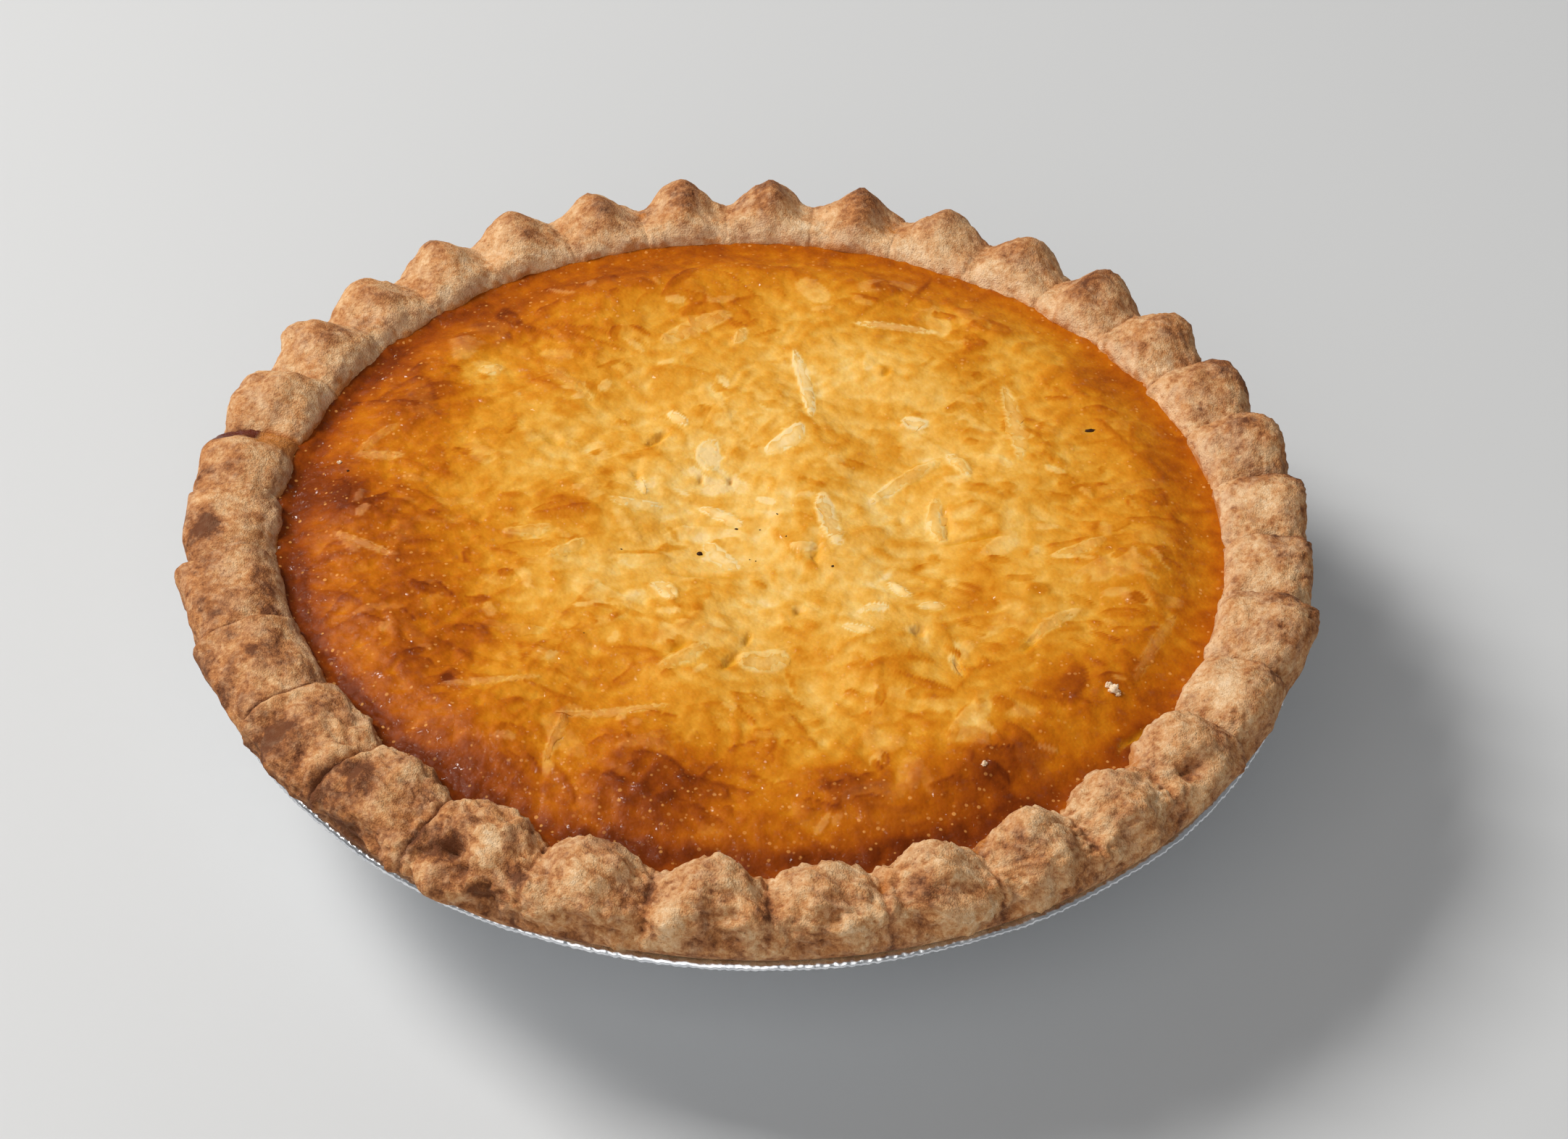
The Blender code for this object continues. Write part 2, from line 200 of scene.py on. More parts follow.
class Finish:
    """A material while it is being built, with its shader and the piece's metres."""

    def __init__(self, name, **plain_values):
        self.material = bpy.data.materials.new(name)
        self.material.use_nodes = True
        self.shader = self.material.node_tree.nodes["Principled BSDF"]
        self.metres = self.put("ShaderNodeTexCoord").outputs["Object"]
        for key, value in plain_values.items():
            self.shader.inputs[key.replace("_", " ")].default_value = value

    def put(self, kind, inputs=None, **settings):
        """Adds a node with its settings, and links each input that is given as a socket."""
        node = self.material.node_tree.nodes.new(kind)
        for key, value in settings.items():
            setattr(node, key, value)
        for key, value in (inputs or {}).items():
            if isinstance(value, bpy.types.NodeSocket):
                self.wire(value, key, node)
            else:
                node.inputs[key].default_value = value
        return node

    def wire(self, socket, name, node=None):
        """Links a socket to an input of the shader, or of another node."""
        self.material.node_tree.links.new(socket, (node or self.shader).inputs[name])

    def said(self, name):
        """A number that the mesh stores per vertex."""
        node = self.put("ShaderNodeAttribute", attribute_type="GEOMETRY", attribute_name=name)
        return node.outputs["Fac"]

    def work(self, operation, *numbers, clamp=False):
        """One sum on numbers or sockets. A clamped one stays between 0 and 1."""
        inputs = dict(enumerate(numbers))
        return self.put("ShaderNodeMath", inputs, operation=operation, use_clamp=clamp).outputs[0]

    def times(self, first, second, clamp=False):
        return self.work("MULTIPLY", first, second, clamp=clamp)

    def line(self, value, slope, start, clamp=False):
        """The value times a slope, plus a start."""
        return self.work("MULTIPLY_ADD", value, slope, start, clamp=clamp)

    def grain(self, size, detail=2.0, stretch=None):
        """Noise whose grains are this many millimetres wide. It lies about a middle of 0."""
        place = self.metres
        if stretch:
            place = self.put("ShaderNodeMapping", {"Vector": place, "Scale": stretch}).outputs[0]
        inputs = {"Vector": place, "Scale": 1.0 / (size * MM), "Detail": detail}
        return self.work("SUBTRACT", self.put("ShaderNodeTexNoise", inputs).outputs[0], 0.5)

    def dots(self, size):
        """Cells scattered about this many millimetres apart."""
        return self.put("ShaderNodeTexVoronoi", {"Vector": self.metres, "Scale": 1.0 / (size * MM)})

    def scale_of_colours(self, amount, *stops):
        """Turns a number from 0 to 1 into a colour, by stops of a place and a screen colour."""
        node = self.put("ShaderNodeValToRGB", {"Fac": amount})
        elements = node.color_ramp.elements
        while len(elements) < len(stops):
            elements.new(0.5)
        for element, (place, colour) in zip(elements, stops):
            element.position = place
        for element, (place, colour) in zip(elements, stops):
            element.color = linear(*colour)
        return node.outputs["Color"]

    def laid_over(self, amount, share, under, over):
        """One screen colour over another, by an amount from 0 to 1 and this share at the most."""
        if share != 1.0:
            amount = self.times(amount, share)
        inputs = {0: amount, 6: under, 7: linear(*over)}
        return self.put("ShaderNodeMix", inputs, data_type="RGBA").outputs[2]

    def dimple(self, height, distance, strength=1.0, name="Normal"):
        """Tilts the light as if the surface rose and fell, by millimetres."""
        inputs = {"Height": height, "Distance": distance * MM, "Strength": strength}
        self.wire(self.put("ShaderNodeBump", inputs).outputs[0], name)

    def give(self, *pieces):
        """Puts the finish on pieces."""
        for piece in pieces:
            piece.data.materials.append(self.material)
        print("finish", self.material.name)


print("finish helpers ready")

# %% [markdown]
# The shell's flutes. A cook pinches the raw rim between finger and knuckle, and the oven then
# does its own work: they stand up as peaks at the back, lie flat on the left, stay blocky on
# the right and slump into bumps at the front. One set of rules moves the points of a plain
# round rim, so any number of points gives the same flutes as the solid has.

# %% Rules of the flutes
def share_back(angle):
    return smooth((np.sin(angle) + 0.15) / 1.0)


def share_front(angle):
    return smooth((-np.sin(angle) - 0.35) / 0.45)


def pinch(angle):
    """How strongly the rim was pinched here: 1 where the flutes stand up in full."""
    flat = 0.72 * bump(angle, 203.0, 36.0, 4)
    low = 0.25 * bump(angle, 0.0, 32.0)
    return (1.0 - flat) * (1.0 - low) * (1.0 - 0.12 * share_front(angle))


def fluted(angle):
    """The unevenly spaced angle that an evenly spaced one comes to lie at."""
    drift = 3.0
    for waves, size, phase in ((1, 3.8, 120.0), (2, 1.4, -113.0)):
        drift = drift + size * np.sin(waves * angle + math.radians(phase))
    return angle + np.radians(drift)


def ridge_at(turn, angle):
    """1 along the top of a flute and 0 in the crease between two."""
    sharpness = 1.0 + 0.95 * share_back(angle) + 0.35 * share_front(angle)
    return np.abs(np.cos(math.pi * turn)) ** sharpness


def edge_shift(turn, angle):
    """How far the edge between filling and crust lies outside its circle."""
    bay = 1.5 * MM * share_front(angle) * (1.0 - ridge_at(turn, angle))
    return bay - 1.4 * MM * bump(angle, 224.0, 22.0)


draw = random.Random(SEED)
# How much higher each flute stands than the common one, and how much further out it reaches.
FLUTE_SIZES = np.array(
    [[draw.uniform(-1.0, 1.0) * FLUTE_DRIFT for way in range(2)] for flute in range(FLUTES)]
)
# The dents of the solid: angle, section angle, radius in millimetres and depth in millimetres.
DENTS = ((242.0, 52.0, 3.6, 2.2), (246.5, 20.0, 3.2, 1.5), (321.5, 52.0, 2.8, 2.0))
print("flutes differ in height by", round(np.ptp(FLUTE_SIZES[:, 0]) / MM, 2), "mm")

# %% [markdown]
# The rim as a grid: round the pie one way, and over the rim from the filling to the skirt the
# other way. The steps round it crowd together at each crease, where the real pastry has a crisp
# fold. In front of a crease the next flute rises as a ledge, because each pinch pushed the dough
# towards the one before. The rim could be sculpted by hand instead, but rules keep each flute
# where the solid has it.

# %% Shape of the rim
STEPS_PER_FLUTE = 34
RIM_ROWS = 62
RIM_INNER_DEG = 176.0
CREASE_CROWDING = 0.66
LIP_FLUTE = 31  # the one that sticks out as a ledge on the right
PITCH = 2.0 * math.pi * RIM_MID_R / FLUTES


def rim_grid():
    """Even turns round the rim, crowded at the creases, and angles over its section."""
    within = (np.arange(STEPS_PER_FLUTE) + 0.5) / STEPS_PER_FLUTE
    within = within - CREASE_CROWDING * np.sin(2.0 * math.pi * within) / (2.0 * math.pi) - 0.5
    turn = (np.arange(FLUTES)[:, None] + within[None, :]).ravel()
    section = np.radians(np.linspace(RIM_INNER_DEG, RIM_SKIRT_DEG, RIM_ROWS))
    return np.meshgrid(turn, section, indexing="ij")


def rim_shape(turn, section):
    """Rim points by radius, angle and height, and then what the baking needs to know of them."""
    even = turn * 2.0 * math.pi / FLUTES
    angle = fluted(even)
    side = np.abs(np.cos(angle))
    # Places within a flute, from -0.5 at its far crease to 0.5 at the one nearer the viewer.
    near = (turn - np.round(turn)) * np.where(np.cos(angle) < 0.0, 1.0, -1.0)
    skew = 0.62 * side**2
    ridge = ridge_at(near + skew * (0.25 - near**2), angle)
    boxy = bump(angle, 5.0, 42.0, 4)
    flat = bump(angle, 200.0, 40.0, 4)
    front, back = share_front(angle), share_back(angle)
    peaked = np.clip(1.0 - 2.0 * np.abs(near), 0.0, 1.0) ** 1.15
    ridge = ridge + 0.45 * back * (1.0 - boxy) * (peaked - ridge)
    ridge = ridge ** (1.0 - 0.40 * np.maximum(boxy, flat))
    pinched = pinch(angle)
    higher, further = np.moveaxis(FLUTE_SIZES[np.round(turn).astype(int) % FLUTES], -1, 0)
    over = np.maximum(0.0, np.sin(section))
    outside = smooth(np.cos(section))
    degrees = np.degrees(section)
    above = smooth((degrees + 30.0) / 60.0)
    upper = section > 0.0
    tall = RIDGE_HEIGHT - VALLEY_HEIGHT
    rise = tall * (1.0 + 0.45 * (pinched - 1.0)) + higher
    sunk = (tall + higher) * pinched * (1.0 - ridge) * (1.0 - 0.25 * flat)
    sunk = sunk * (1.0 - 0.45 * back * (1.0 - boxy) * smooth((degrees - 90.0) / 45.0))
    sunk = sunk * (1.0 - 0.50 * front * smooth((75.0 - degrees) / 50.0))
    from_far = (near + 0.5) * PITCH
    lip = (np.round(turn) == LIP_FLUTE) * (0.15 + 0.85 * np.exp(-from_far / (4.0 * MM)))
    crest = 1.5 * MM * back - 1.1 * MM * front + 1.3 * MM * boxy
    top = (VALLEY_HEIGHT + rise - sunk) * over ** (0.75 - 0.25 * boxy) + 0.7 * MM * lip * over
    top = top + crest * ridge * over * np.cos(section)
    z = RIM_LEVEL + np.where(upper, top, VALLEY_HEIGHT * np.sin(section))
    sideways = np.sign(np.cos(section)) * np.abs(np.cos(section)) ** (1.0 - 0.30 * boxy)
    r = RIM_MID_R + RIM_HALF_WIDTH * sideways
    r = r + np.where(upper, edge_shift(turn, angle) * smooth(-np.cos(section) * 1.6), 0.0)
    reach = (1.7 * MM + further + 0.9 * MM * back) * pinched * (1.0 - 0.4 * front)
    r = r + reach * (ridge - 0.45) * outside * above
    r = r + 1.5 * MM * np.maximum(0.0, np.cos(angle - math.radians(188.0))) * outside * above
    r = r + 1.9 * MM * lip * outside * above
    r = r + 1.2 * MM * bump(angle, 246.0, 9.0) * outside
    return r, angle, z, near, ridge, over, outside, above, side


turn, section = rim_grid()
rim_r, rim_angle, rim_z, near, ridge, over, outside, above, side = rim_shape(turn, section)
print("rim grid", rim_r.shape, "highest", round(rim_z.max() / MM, 1), "mm")

# %% [markdown]
# Baked relief. Pastry is layers of flour and fat, so its skin is never smooth: it has soft
# crags, thin wrinkles, pores, and at the front broken flakes where it caught on something. Each
# of these is a push along the section's normal, in real millimetres. A bump in the finish would
# be quicker to make, but the outline would stay smooth, and nothing would cast a shadow.

# %% Crags, creases, flakes and pits of the pastry
rim_x, rim_y = rim_r * np.cos(rim_angle), rim_r * np.sin(rim_angle)
degrees = np.degrees(section)
front = share_front(rim_angle)
back = share_back(rim_angle)
left = bump(rim_angle, 200.0, 38.0, 4)
right = bump(rim_angle, 8.0, 40.0, 4)
skin = np.maximum(over, outside * above)


def rim_cloud(size, seed=0):
    """Soft noise over the rim, with lumps this many millimetres wide."""
    return cloudy(rim_x, rim_y, rim_z, size * MM, seed)


def from_place(angle_deg, section_deg):
    """Millimetres round and over the rim from a place, by its angle and its section angle."""
    away = (rim_angle - math.radians(angle_deg) + math.pi) % (2.0 * math.pi) - math.pi
    return away * RIM_MID_R / MM, (section - math.radians(section_deg)) * RIM_HALF_WIDTH / MM


crag = 0.34 * (1.0 + 1.2 * front * outside) * rim_cloud(4.6)
lumps = rim_cloud(2.3, 1)
grains = rim_cloud(1.1, 2)
push = crag + lumps * 0.10 + grains * (0.06 + 0.05 * front) + rim_cloud(0.6, 3) * 0.045

# Crumbled dough: round knobs with sharp little valleys between them, strongest at the front.
knobs = np.abs(rim_cloud(3.2, 8)) - 0.30
small_knobs = np.abs(rim_cloud(1.5, 9)) - 0.30
crumbled = knobs * (0.10 + 0.40 * front + 0.15 * back)
push += crumbled + small_knobs * (0.12 + 0.34 * front + 0.12 * right)

# Creases: a crisp groove, and the ledge in front of it.
from_far = (near + 0.5) * PITCH / MM
from_near = (0.5 - near) * PITCH / MM
from_crease = np.minimum(from_far, from_near)
groove = 0.20 * (1.0 - 0.8 * back) + 0.50 * left + 0.20 * right
push -= groove * hump(from_crease / 0.35) * (0.35 + 0.65 * over)
ledge = (0.95 * left + 0.90 * right) * side
push += ledge * (np.exp(-from_far / 2.6) - 0.7 * np.exp(-from_near / 2.0)) * skin
push += 0.30 * (left + right) * hump((from_far - 0.9) / 0.7) * skin

# Thin wrinkles that run along the flutes on the left.
wrinkle = np.abs(cloudy(rim_x, rim_y * 2.6, rim_z, 3.4 * MM, 4))
push -= 0.14 * left * hump(wrinkle / 0.09)

# Pores, small and shallow, most of them on the right.
pores = smooth((rim_cloud(0.9, 5) - 0.55) / 0.30)
push -= pores * (0.06 + 0.14 * right + 0.10 * front)

# Broken flakes at the front: the surface goes in steps, as torn layers do.
layers = 2.6 * cloudy(rim_x * 0.7, rim_y * 0.7, rim_z * 1.6, 4.2 * MM, 6)
steps = np.floor(layers) + smooth((layers - np.floor(layers)) / 0.28)
torn = front * outside + 0.8 * bump(rim_angle, 244.0, 7.0)
push += 0.20 * steps * torn

# The dents of the solid, and the crease that split and let the filling out.
for dent_angle, dent_section, radius, most in DENTS:
    along, across = from_place(dent_angle, dent_section)
    push -= 0.8 * most * np.exp(-(along**2 + across**2) / (radius**2 * 0.5))
split = bump(rim_angle, 169.0, 1.9)
push -= 1.6 * split * over

# Deep small holes in the torn places: angle, section angle, radius and depth.
TORN_HOLES = (
    (241.0, 58.0, 1.5, 1.5), (243.5, 40.0, 1.3, 1.4), (239.0, 44.0, 1.1, 1.0),
    (247.5, 62.0, 1.0, 0.9), (246.0, 24.0, 1.3, 1.0), (321.5, 50.0, 1.6, 0.25),
)
hole = np.zeros_like(push)
for hole_angle, hole_section, radius, depth in TORN_HOLES:
    along, across = from_place(hole_angle, hole_section)
    away = (along + 0.5 * lumps) ** 2 + (across + 0.5 * grains) ** 2
    inside = np.exp(-((away / radius**2) ** 1.5))
    push -= depth * inside
    hole = np.maximum(hole, inside)

# A crumb of dough that baked onto the front.
along, across = from_place(280.5, 31.0)
stuck = hump((along + 0.4 * grains) ** 2 / 2.6 + (across + 0.4 * lumps) ** 2 / 1.1)
push += 0.75 * stuck

shown = smooth((170.0 - degrees) / 12.0)
push = push * MM * shown * np.where(section < 0.0, above, 1.0)
rim_r = rim_r + push * np.cos(section)
rim_z = rim_z + push * np.sin(section)
print("relief from", round(push.min() / MM, 2), "to", round(push.max() / MM, 2), "mm")

# %% [markdown]
# The shell as one closed mesh. The rim's grid is its shown side. A few plain rings close it
# down the inside of the tin and under the filling, where nobody looks, as the solid does.

# %% Make the crust
RINGS_BEFORE = ((TIN_BASE_R - 3.6 * MM, 5.0 * MM),)
RINGS_AFTER = (
    (TIN_EDGE_R - 1.0 * MM, 26.0 * MM), (65.24 * MM, 26.0 * MM), (48.62 * MM, 0.8 * MM)
)
ring_angles = rim_angle[:, :1]
rows = [round_the_pie(r, ring_angles, z) for r, z in RINGS_BEFORE]
rows.append(round_the_pie(rim_r, rim_angle, rim_z))
rows += [round_the_pie(r, ring_angles, z) for r, z in RINGS_AFTER]
shell = np.concatenate(rows, axis=1)
shell_faces = ring_faces(*shell.shape[:2])
crust = show("crust_baked", shell, shell_faces, ["crust"])
print("crust faces", len(shell_faces))

# %% [markdown]
# How brown the pastry is, with painted shade laid into the same number. The oven toasts what
# stands out: the tops of the flutes at the back, round spots on the left, the ledges on the right
# and the outer edge. What lies low or against the filling stays pale and floury, apart from the
# creases, holes, pores and hollows at the front, which are darker, partly toast and partly painted
# shade. The lower outer side at the front is darker too, partly toast and partly painted shade,
# and the knobs at the front are lighter as painted light. Each vertex stores four numbers for the
# finish to read: toast with its painted shade, flour, the dark syrup that leaked through the split
# crease, and the custard that lapped up the inner slope.

# %% Toast, flour and leak
# Brown spots that can be told apart: angle, section angle, half-widths round and over the rim
# in millimetres, and strength. The last one is a pale fleck in the middle of a spot.
SPOTS = (
    (175.5, 40.0, 1.6, 1.5, 0.21), (175.5, 79.0, 1.5, 1.4, 0.21), (185.0, 62.0, 1.7, 1.6, 0.54),
    (185.8, 48.0, 2.8, 2.6, 0.23), (196.0, 122.0, 2.6, 2.0, 0.39), (200.0, 113.0, 1.7, 1.5, 0.44),
    (198.5, 73.0, 2.2, 2.0, 0.25), (207.0, 91.0, 3.4, 2.9, 0.48), (216.5, 49.0, 2.1, 2.8, 0.54),
    (216.5, 106.0, 2.6, 2.0, 0.38), (219.5, 72.0, 2.9, 2.4, 0.25), (227.5, 70.0, 3.0, 2.6, 0.46),
    (225.5, 24.0, 2.2, 2.2, 0.38), (229.0, 16.0, 3.0, 2.4, 0.44), (239.5, 64.0, 3.4, 3.4, 0.25),
    (242.0, 20.0, 1.6, 1.6, 0.26), (246.0, 12.0, 2.2, 2.2, 0.12), (246.5, 85.0, 1.4, 1.4, 0.38),
    (249.0, 58.0, 1.5, 1.5, 0.42), (250.0, 28.0, 1.4, 1.4, 0.30), (273.0, 55.0, 1.8, 4.6, 0.30),
    (262.0, 60.0, 2.3, 3.4, 0.21), (288.5, 62.0, 1.8, 2.5, 0.25), (227.0, 57.0, 0.9, 0.7, -0.40),
)
high = (rim_z - RIM_LEVEL) / RIDGE_HEIGHT
patchy = rim_cloud(5.5, 7)
toast_and_shade = 0.38 + 0.12 * patchy + 0.12 * lumps + 0.08 * front + np.maximum(0.10 * left, 0.08 * back)
toast_and_shade += back * 0.30 * smooth((high - 0.62) / 0.5) * smooth((ridge - 0.35) / 0.6)
toast_and_shade -= back * 0.12 * smooth(-np.cos(section) * 1.2)
for spot_angle, spot_section, half_round, half_over, strength in SPOTS:
    along, across = from_place(spot_angle, spot_section)
    spot = ((along + 0.5 * lumps) / half_round) ** 2 + ((across + 0.5 * grains) / half_over) ** 2
    toast_and_shade += strength * np.exp(-(spot**1.4)) * (1.0 + 0.3 * grains)
corner = np.exp(-from_far / 1.8) * smooth((118.0 - degrees) / 40.0)
toast_and_shade += right * 0.50 * corner * (0.8 + 0.5 * patchy + 0.4 * grains)
toast_and_shade += 0.24 * left * smooth(np.cos(section) * 1.1) + 0.16 * right * outside
# Darker low on the outer side at the front: partly toast, partly painted shade on the side that faces
# away from the lamp.
toast_and_shade += 0.18 * front * smooth((25.0 - degrees) / 40.0)
# At the front the hollows are darker and the knobs lighter: painted shade and painted light, with some
# toast in the hollows.
toast_and_shade += front * 0.08 * np.clip(-push / (0.4 * MM), -1.2, 1.5)
toast_and_shade -= 0.22 * stuck
# Darker in the torn holes and pores: partly toast, partly painted shade in the recesses.
toast_and_shade += 0.30 * hole + 0.12 * pores * (0.4 + front + right)
# Darker along the creases: partly toast, partly painted shade in the folds.
toast_and_shade += 0.42 * hump(from_crease / 0.40) * (0.4 + 0.6 * left) * (1.0 - back)
flour = smooth((degrees - 118.0) / 30.0) * (0.55 + 0.4 * patchy)
flour += 0.35 * smooth((patchy - 0.25) / 0.5) * over
flour = flour * smooth((0.85 - toast_and_shade) / 0.3) * (1.0 - 0.6 * front)
leak = split * smooth((degrees + 5.0) / 30.0) * smooth((100.0 - degrees) / 20.0)
leak = smooth((leak * (1.0 + 0.30 * lumps) - 0.45) / 0.30)
# Custard that crept up the inner slope and baked on, and into the split crease.
lapped = smooth((FILL_EDGE_Z + (0.7 + 1.1 * patchy + 0.9 * grains) * MM - rim_z) / (1.1 * MM))
lapped = np.maximum(lapped, smooth((degrees - 78.0) / 16.0) * smooth((split - 0.15) / 0.3))
lapped = lapped * (section > math.radians(78.0))

# Each number of the rim, with a plain one for the hidden rings.
for name, values, unseen in (
    ("toast_and_shade", toast_and_shade, 0.3), ("flour", flour, 0.2), ("leak", leak, 0.0), ("lapped", lapped, 0.0)
):
    around = ((0, 0), (len(RINGS_BEFORE), len(RINGS_AFTER)))
    note(crust, name, np.pad(values, around, constant_values=unseen))
print("toast_and_shade", round(float(toast_and_shade.min()), 2), "to", round(float(toast_and_shade.max()), 2))

# %% [markdown]
# Finish of the pastry. Close up it is a mass of tiny pale and brown grains, so the stored toast,
# with the painted shade in it, is broken up by noise of three sizes before it becomes a colour.
# Some patches are more orange and some greyer, and flour lies on them. Both fade where the pastry
# is darkest. Dark speckles, the lapped custard and the leaked syrup come last. Dry pastry is rough
# and hardly shines.

# %% Baked pastry finish
pastry = Finish("baked_pastry", Specular_IOR_Level=0.25)
amount = pastry.line(pastry.grain(2.4, 3.0), 0.55, pastry.said("toast_and_shade"))
amount = pastry.line(pastry.grain(0.75, 3.0), 0.80, amount)
amount = pastry.line(pastry.grain(0.28), 0.45, amount, clamp=True)
colour = pastry.scale_of_colours(
    amount,
    (0.00, (240, 208, 168)), (0.25, (223, 180, 132)), (0.45, (204, 150, 99)),
    (0.62, (180, 120, 72)), (0.80, (148, 92, 52)), (1.00, (106, 60, 32)),
)
hue = pastry.grain(3.4, 3.0)
fading = pastry.line(amount, -1.7, 1.95, clamp=True)
hue = pastry.times(hue, fading)
orange = pastry.times(hue, 2.6, clamp=True)
greyish = pastry.times(hue, -2.6, clamp=True)
colour = pastry.laid_over(orange, 0.50, colour, (205, 135, 72))
colour = pastry.laid_over(greyish, 0.38, colour, (208, 172, 136))
dusted = pastry.line(pastry.grain(1.1, 3.0), 2.2, pastry.said("flour"), clamp=True)
colour = pastry.laid_over(pastry.times(dusted, fading), 0.55, colour, (232, 201, 163))
speck = pastry.times(pastry.work("SUBTRACT", pastry.grain(0.5, 1.0), 0.17), 9.0, clamp=True)
colour = pastry.laid_over(speck, 0.55, colour, (118, 66, 32))
colour = pastry.laid_over(pastry.said("lapped"), 0.75, colour, (190, 114, 38))
colour = pastry.laid_over(pastry.said("leak"), 1.0, colour, (96, 36, 14))
pastry.wire(colour, "Base Color")
moist = pastry.work("MAXIMUM", pastry.said("leak"), pastry.said("lapped"))
pastry.wire(pastry.line(moist, -0.45, 0.82), "Roughness")
pastry.dimple(pastry.work("ADD", pastry.grain(0.55, 4.0), pastry.grain(0.22)), 0.22, 0.9)
pastry.give(crust)

# %% [markdown]
# The filling: custard thickened with coconut, domed near its edge and sunken in the middle as
# it cooled. Its skin is one sheet, and the coconut lies in it and under it. Here are the
# things that can be told apart on it. Flakes are given by place, heading, length, width, how
# far they lift the skin and how pale they are, in millimetres and degrees.

# %% What lies in the skin
FLAKES = [
    (19.2, 43.2, -5, 12.5, 1.5, 0.35, 0.8), (6.4, 29.8, 101, 15.5, 1.7, 0.40, 0.9),
    (36.0, 23.0, 97, 17.0, 2.2, 0.25, 0.6), (10.4, 1.2, 103, 11.5, 2.6, 0.35, 0.8),
    (4.2, 17.4, 48, 7.5, 2.6, 0.40, 1.0), (-52.2, -8.0, -27, 10.5, 1.3, 0.40, 0.6),
    (-30.8, -22.8, -7, 9.0, 1.6, 0.40, 0.3), (-33.0, -34.0, 10, 13.5, 1.3, 0.25, 0.5),
    (-4.4, 1.6, -30, 7.0, 1.6, 0.40, 1.0), (-4.2, -6.6, -52, 7.5, 2.4, 0.20, 0.8),
    (-11.2, 21.2, -45, 4.0, 1.4, 0.35, 0.9), (-15.6, 6.6, -72, 4.0, 1.1, 0.35, 0.9),
    (-16.2, 2.8, -3, 7.5, 1.7, 0.30, 0.7), (-6.4, 14.0, 92, 6.5, 3.0, 0.25, 0.7),
    (22.0, 22.4, 170, 4.0, 2.4, 0.30, 0.9), (25.2, 2.0, 97, 9.5, 2.2, 0.30, 0.5),
    (20.5, 10.0, 43, 13.0, 2.0, 0.40, 0.5), (28.0, 13.5, -60, 6.0, 1.8, 0.30, 0.6),
    (-9.5, 41.6, 36, 12.5, 3.2, 0.30, 0.5), (-3.0, 39.8, 70, 4.0, 1.6, 0.30, 0.6),
    (-27.0, 28.0, -45, 11.0, 1.8, 0.25, 0.4), (-38.0, 30.6, 20, 3.5, 2.0, 0.30, 0.7),
    (-52.0, 10.8, -3, 7.0, 1.7, 0.30, 0.6), (-30.5, -3.6, 12, 7.0, 2.0, 0.30, 0.5),
    (-25.0, -7.2, 40, 6.5, 1.8, 0.30, 0.5), (-14.4, -8.2, 2, 8.0, 1.8, 0.55, 0.2),
    (20.0, -12.6, -48, 4.2, 1.3, 0.45, 1.0), (24.4, -15.8, -3, 3.5, 1.4, 0.30, 0.9),
    (16.6, -16.8, 10, 4.5, 1.5, 0.25, 0.8), (14.6, -21.4, -15, 4.5, 1.4, 0.25, 0.8),
    (-11.4, -14.8, -47, 5.0, 2.4, 0.30, 0.7), (2.2, -27.8, 15, 7.5, 4.0, 0.30, 0.6),
    (-8.0, -28.2, 38, 8.0, 2.2, 0.30, 0.5), (40.4, -19.0, 45, 10.5, 1.8, 0.30, 0.5),
    (44.6, -3.6, 28, 8.0, 2.0, 0.30, 0.5), (54.0, -21.5, 66, 15.0, 1.5, 0.20, 0.4),
    (-17.0, -38.8, 8, 15.0, 1.4, 0.30, 0.6), (-24.0, -44.0, 76, 9.0, 1.5, 0.25, 0.5),
    (27.4, -27.2, -72, 5.0, 1.3, 0.30, 0.6), (38.6, -12.8, 20, 4.0, 2.6, 0.50, 0.0),
    (-52.5, 14.5, 50, 8.0, 1.5, 0.30, 0.4),
]
# Holes and cracks: place, heading, length, width and depth.
HOLES = (
    (-13.8, 16.8, 55, 4.5, 1.1, 0.7), (-16.2, 8.6, -75, 3.0, 0.9, 0.6), (-3.2, 9.0, 80, 1.3, 0.9, 0.5),
    (-7.6, 8.8, 80, 1.3, 0.9, 0.5), (17.8, 32.6, 80, 1.6, 1.1, 0.6), (22.8, -20.8, 20, 2.2, 1.6, 0.8),
    (6.8, -17.9, 80, 1.5, 1.2, 0.6), (8.8, -5.4, 86, 4.8, 0.9, 0.7), (0.0, -23.6, 70, 3.0, 0.9, 0.5),
    (-2.0, -28.4, 60, 4.0, 1.0, 0.6), (-9.0, -26.5, 45, 3.0, 1.0, 0.5), (51.4, -37.0, 44, 8.0, 1.0, 0.6),
    (37.6, -22.6, 60, 4.0, 1.0, 0.5), (-6.0, -10.9, -2, 11.0, 0.8, 0.4),
    (27.9, -27.6, -75, 4.0, 0.8, 0.5), (-28.4, 15.6, -35, 3.0, 1.2, 0.4),
    (30.5, -1.8, 12, 9.0, 0.8, 0.4), (26.4, 1.5, 95, 7.0, 0.8, 0.5),
)
# Blown-up places: x, y, radius and height.
BLISTERS = (
    (-57.0, 4.0, 5.0, 0.5), (-48.0, 21.0, 6.0, 0.4), (-34.0, -47.0, 8.0, 0.6), (-15.0, -48.0, 8.0, 0.9),
    (14.0, -49.0, 3.5, 0.5), (35.0, -44.0, 8.0, 0.7), (57.0, 25.0, 6.0, 0.4),
)
draw = random.Random(SEED + 1)
SMALL_FLAKES = []
